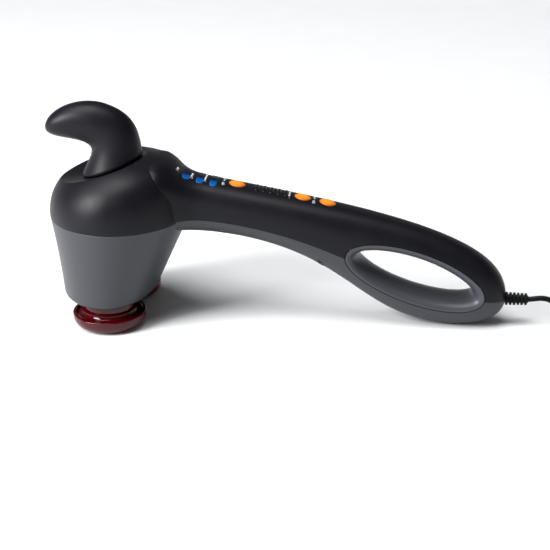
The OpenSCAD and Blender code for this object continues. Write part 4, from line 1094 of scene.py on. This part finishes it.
bore = cord["thick"] / 2 + relief["play"]
root, tip, long = relief["root"], relief["tip"], relief["long"]
sleeve = [(bore, relief["shoulderFrom"]), (relief["shoulder"], relief["shoulderFrom"]),
          (relief["shoulder"], relief["shoulderTo"]), (root, relief["shoulderTo"]), (root, 0)]
sleeve += [(root - (root - tip) * k / 6, long * k / 6) for k in range(1, 6)]
sleeve += [(tip, long - relief["lip"]), (tip - relief["lip"], long), (bore, long)]
sleevePiece = newPiece("relief_sleeve", tubeShape(sleeve, reliefPlace), blackCord, 35)
settle(sleevePiece, "housing", "relief_pvc", "strain_relief")

pitch = long / relief["ribs"]
r, w, soft = relief["ribWide"], pitch * relief["ribFill"], relief["ribSoft"]
ribProfile = [(relief["ribInside"], 0)] + arc((r - soft, soft), soft, -90, 0, 5)
ribProfile += arc((r - soft, w - soft), soft, 0, 90, 5) + [(relief["ribInside"], w)]
upAlongX = (np.array([[0, 0, 1], [0, 1, 0], [-1, 0, 0]]), np.zeros(3))
ribShape = localShape(tubeShape(ribProfile, upAlongX, 72))
places = []
for k in range(relief["ribs"]):
    size = 1 - relief["ribTaper"] * k
    x = handle["end"] + pitch * k + relief["ribGap"]
    places.append(((x, 0, relief["exit"]), (0, 0, 0), (1, size, size)))
ribPiece = repeated("relief_ribs", ribShape, places, blackCord, 35)
settle(ribPiece, "housing", "relief_pvc")

plug = {
    "at": (471.8, 100, 6.9),
    # half width and half height at distances from the cord's end
    "wide": [(0, 3.4), (4, 3.7), (20, 5.2), (25, 6.6), (32, 9.8), (38, 12.4), (44, 13.1),
             (54, 13.1), (55, 12.6)],
    "tall": [(0, 3.4), (4, 3.7), (20, 4.8), (27, 6.1), (34, 6.7), (44, 6.8), (54, 6.8), (55, 6.4)],
    "square": (2, 2.2, 18, 16),  # of the section: least, what is added, from where, over what
    "groove": (5, 3.6, 0.6),  # of the boot: where they start, their spacing and depth
}


def plugRing(y):
    # section at a distance from the cord's end, narrower in a groove of the boot
    start, step, deep = plug["groove"]
    shrink = deep if 5.5 < y < 19 and 0.5 < (y - start) % step < 2.5 else 0
    wide = np.interp(y, *zip(*plug["wide"])) - shrink
    tall = np.interp(y, *zip(*plug["tall"])) - shrink
    least, extra, begin, span = plug["square"]
    p = oval(64, least + extra * min(max((y - begin) / span, 0), 1)) * [wide, tall]
    x, foot, z = plug["at"]
    return np.column_stack([x + p[:, 0], np.full(64, foot + y), z + p[:, 1]])


start, step, _ = plug["groove"]
line = [0.0, 0.5, 2, 4]
line += [start + edge + step * k for k in range(4) for edge in (0, 0.6, 2.4, 3.0)]
line += [20, 22, 24, 27, 30, 33, 36, 39, 42, 46, 50, 54, 54.7, 55]
plugPiece = newPiece("plug_shell", loft([plugRing(y) for y in line]), mouldedPlug)
carve(plugPiece, [rod(frameAt(plug["at"], [1, 0, 0], [0, 1, 0]), bore, -1, 6, 32)])
settle(plugPiece, "housing", "plug_plastic", "plug_body")

tie = {
    "in": 21.0, "out": 36.9, "high": 20.8, "wide": 11.4, "thick": 0.8, "round": 3.2,
    "soft": 0.2, "turn": 135,  # degrees round the coil
}


def tieLine(grow):
    # rounded rectangle round the coil's section
    lo, hi = tie["in"] - grow, tie["out"] + grow - tie["thick"]
    bottom, top = tie["thick"] - grow, tie["high"] - tie["thick"] + grow
    r = tie["round"] + grow
    return np.array(arc((hi - r, bottom + r), r, -90, 0, 8) + arc((hi - r, top - r), r, 0, 90, 8)
                    + arc((lo + r, top - r), r, 90, 180, 8)
                    + arc((lo + r, bottom + r), r, 180, 270, 8))


a = math.radians(tie["turn"])
outward, across = np.array([math.cos(a), math.sin(a), 0]), np.array([-math.sin(a), math.cos(a), 0])
middle = np.array([cord["coilMiddle"][0], cord["coilMiddle"][1], 0])
half, thick, soft = tie["wide"] / 2, tie["thick"], tie["soft"]
section = [(thick, half - soft), (thick - soft, half), (soft, half), (0, half - soft)]
section += [(grow, -side) for grow, side in section[::-1]]
rings = [np.array([middle + outward * u + across * side + [0, 0, v] for u, v in tieLine(grow)])
         for grow, side in section]
tiePiece = newPiece("coil_strap", loft(rings, True), blackCord)
settle(tiePiece, "housing", "tie_strap", "coil_tie")

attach(mainsCord, "housing")
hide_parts("cord", "cord_coil", "cord_tail")
mainsCord.data.materials.clear()
mainsCord.data.materials.append(blackCord)

studio = {  # in metres
    "floor": 15, "drop": 0.0002,
    "side": {"at": (-1.15, -0.75, 0.85), "aim": (-0.12, 0, 0.1), "size": (0.6, 0.8), "power": 40},
    "overhead": {"towards": (0.45, 0.25, -2.3), "strength": 3.0, "spread": 42},
    "walls": 0.7, "ceiling": 0.1, "between": (0.02, 0.3),
}
far, under = studio["floor"], -studio["drop"]
corners = [(-far, -far, under), (far, -far, under), (far, far, under), (-far, far, under)]
floorMesh = bpy.data.meshes.new("floor")
floorMesh.from_pydata(corners, [], [(0, 1, 2, 3)])
floor = bpy.data.objects.new("floor", floorMesh)
bpy.context.collection.objects.link(floor)
# uncoated white paper: bright and matt
floorMesh.materials.append(newMaterial("paper", {"IOR": 1.3},
                                       mottle("#e4e5e7", "#e8e9eb", 60, (0.6, 0.7))))

side = studio["side"]
sideData = bpy.data.lights.new("sideLight", "AREA")
sideData.shape, sideData.energy = "RECTANGLE", side["power"]
sideData.size, sideData.size_y = side["size"]
sideLight = bpy.data.objects.new("sideLight", sideData)
sideLight.location = side["at"]
awayFromAim = Vector(side["at"]) - Vector(side["aim"])
sideLight.rotation_euler = awayFromAim.to_track_quat("Z", "Y").to_euler()
bpy.context.collection.objects.link(sideLight)

overhead = studio["overhead"]
overheadData = bpy.data.lights.new("overhead", "SUN")
overheadData.energy, overheadData.angle = overhead["strength"], math.radians(overhead["spread"])
overheadLight = bpy.data.objects.new("overhead", overheadData)
overheadLight.rotation_euler = Vector(overhead["towards"]).to_track_quat("-Z", "Y").to_euler()
bpy.context.collection.objects.link(overheadLight)

# a room that is bright low down all round and dim above, like a studio with white walls
world = bpy.data.worlds.new("studio")
bpy.context.scene.world = world
world.use_nodes = True
room = world.node_tree
direction = addNode(room, "ShaderNodeTexCoord").outputs["Generated"]
height = addNode(room, "ShaderNodeSeparateXYZ", None, {0: direction})
low, high = studio["between"]
glow = addNode(room, "ShaderNodeMapRange",
               {"interpolation_type": "SMOOTHSTEP", "From Min": low, "From Max": high,
                "To Min": studio["walls"], "To Max": studio["ceiling"]},
               {"Value": height.outputs[2]})
room.nodes["Background"].inputs["Color"].default_value = toLinear("#ffffff")
room.links.new(glow.outputs[0], room.nodes["Background"].inputs["Strength"])
print("floor and lights set")
bpy.context.scene.view_settings.view_transform = "Standard"
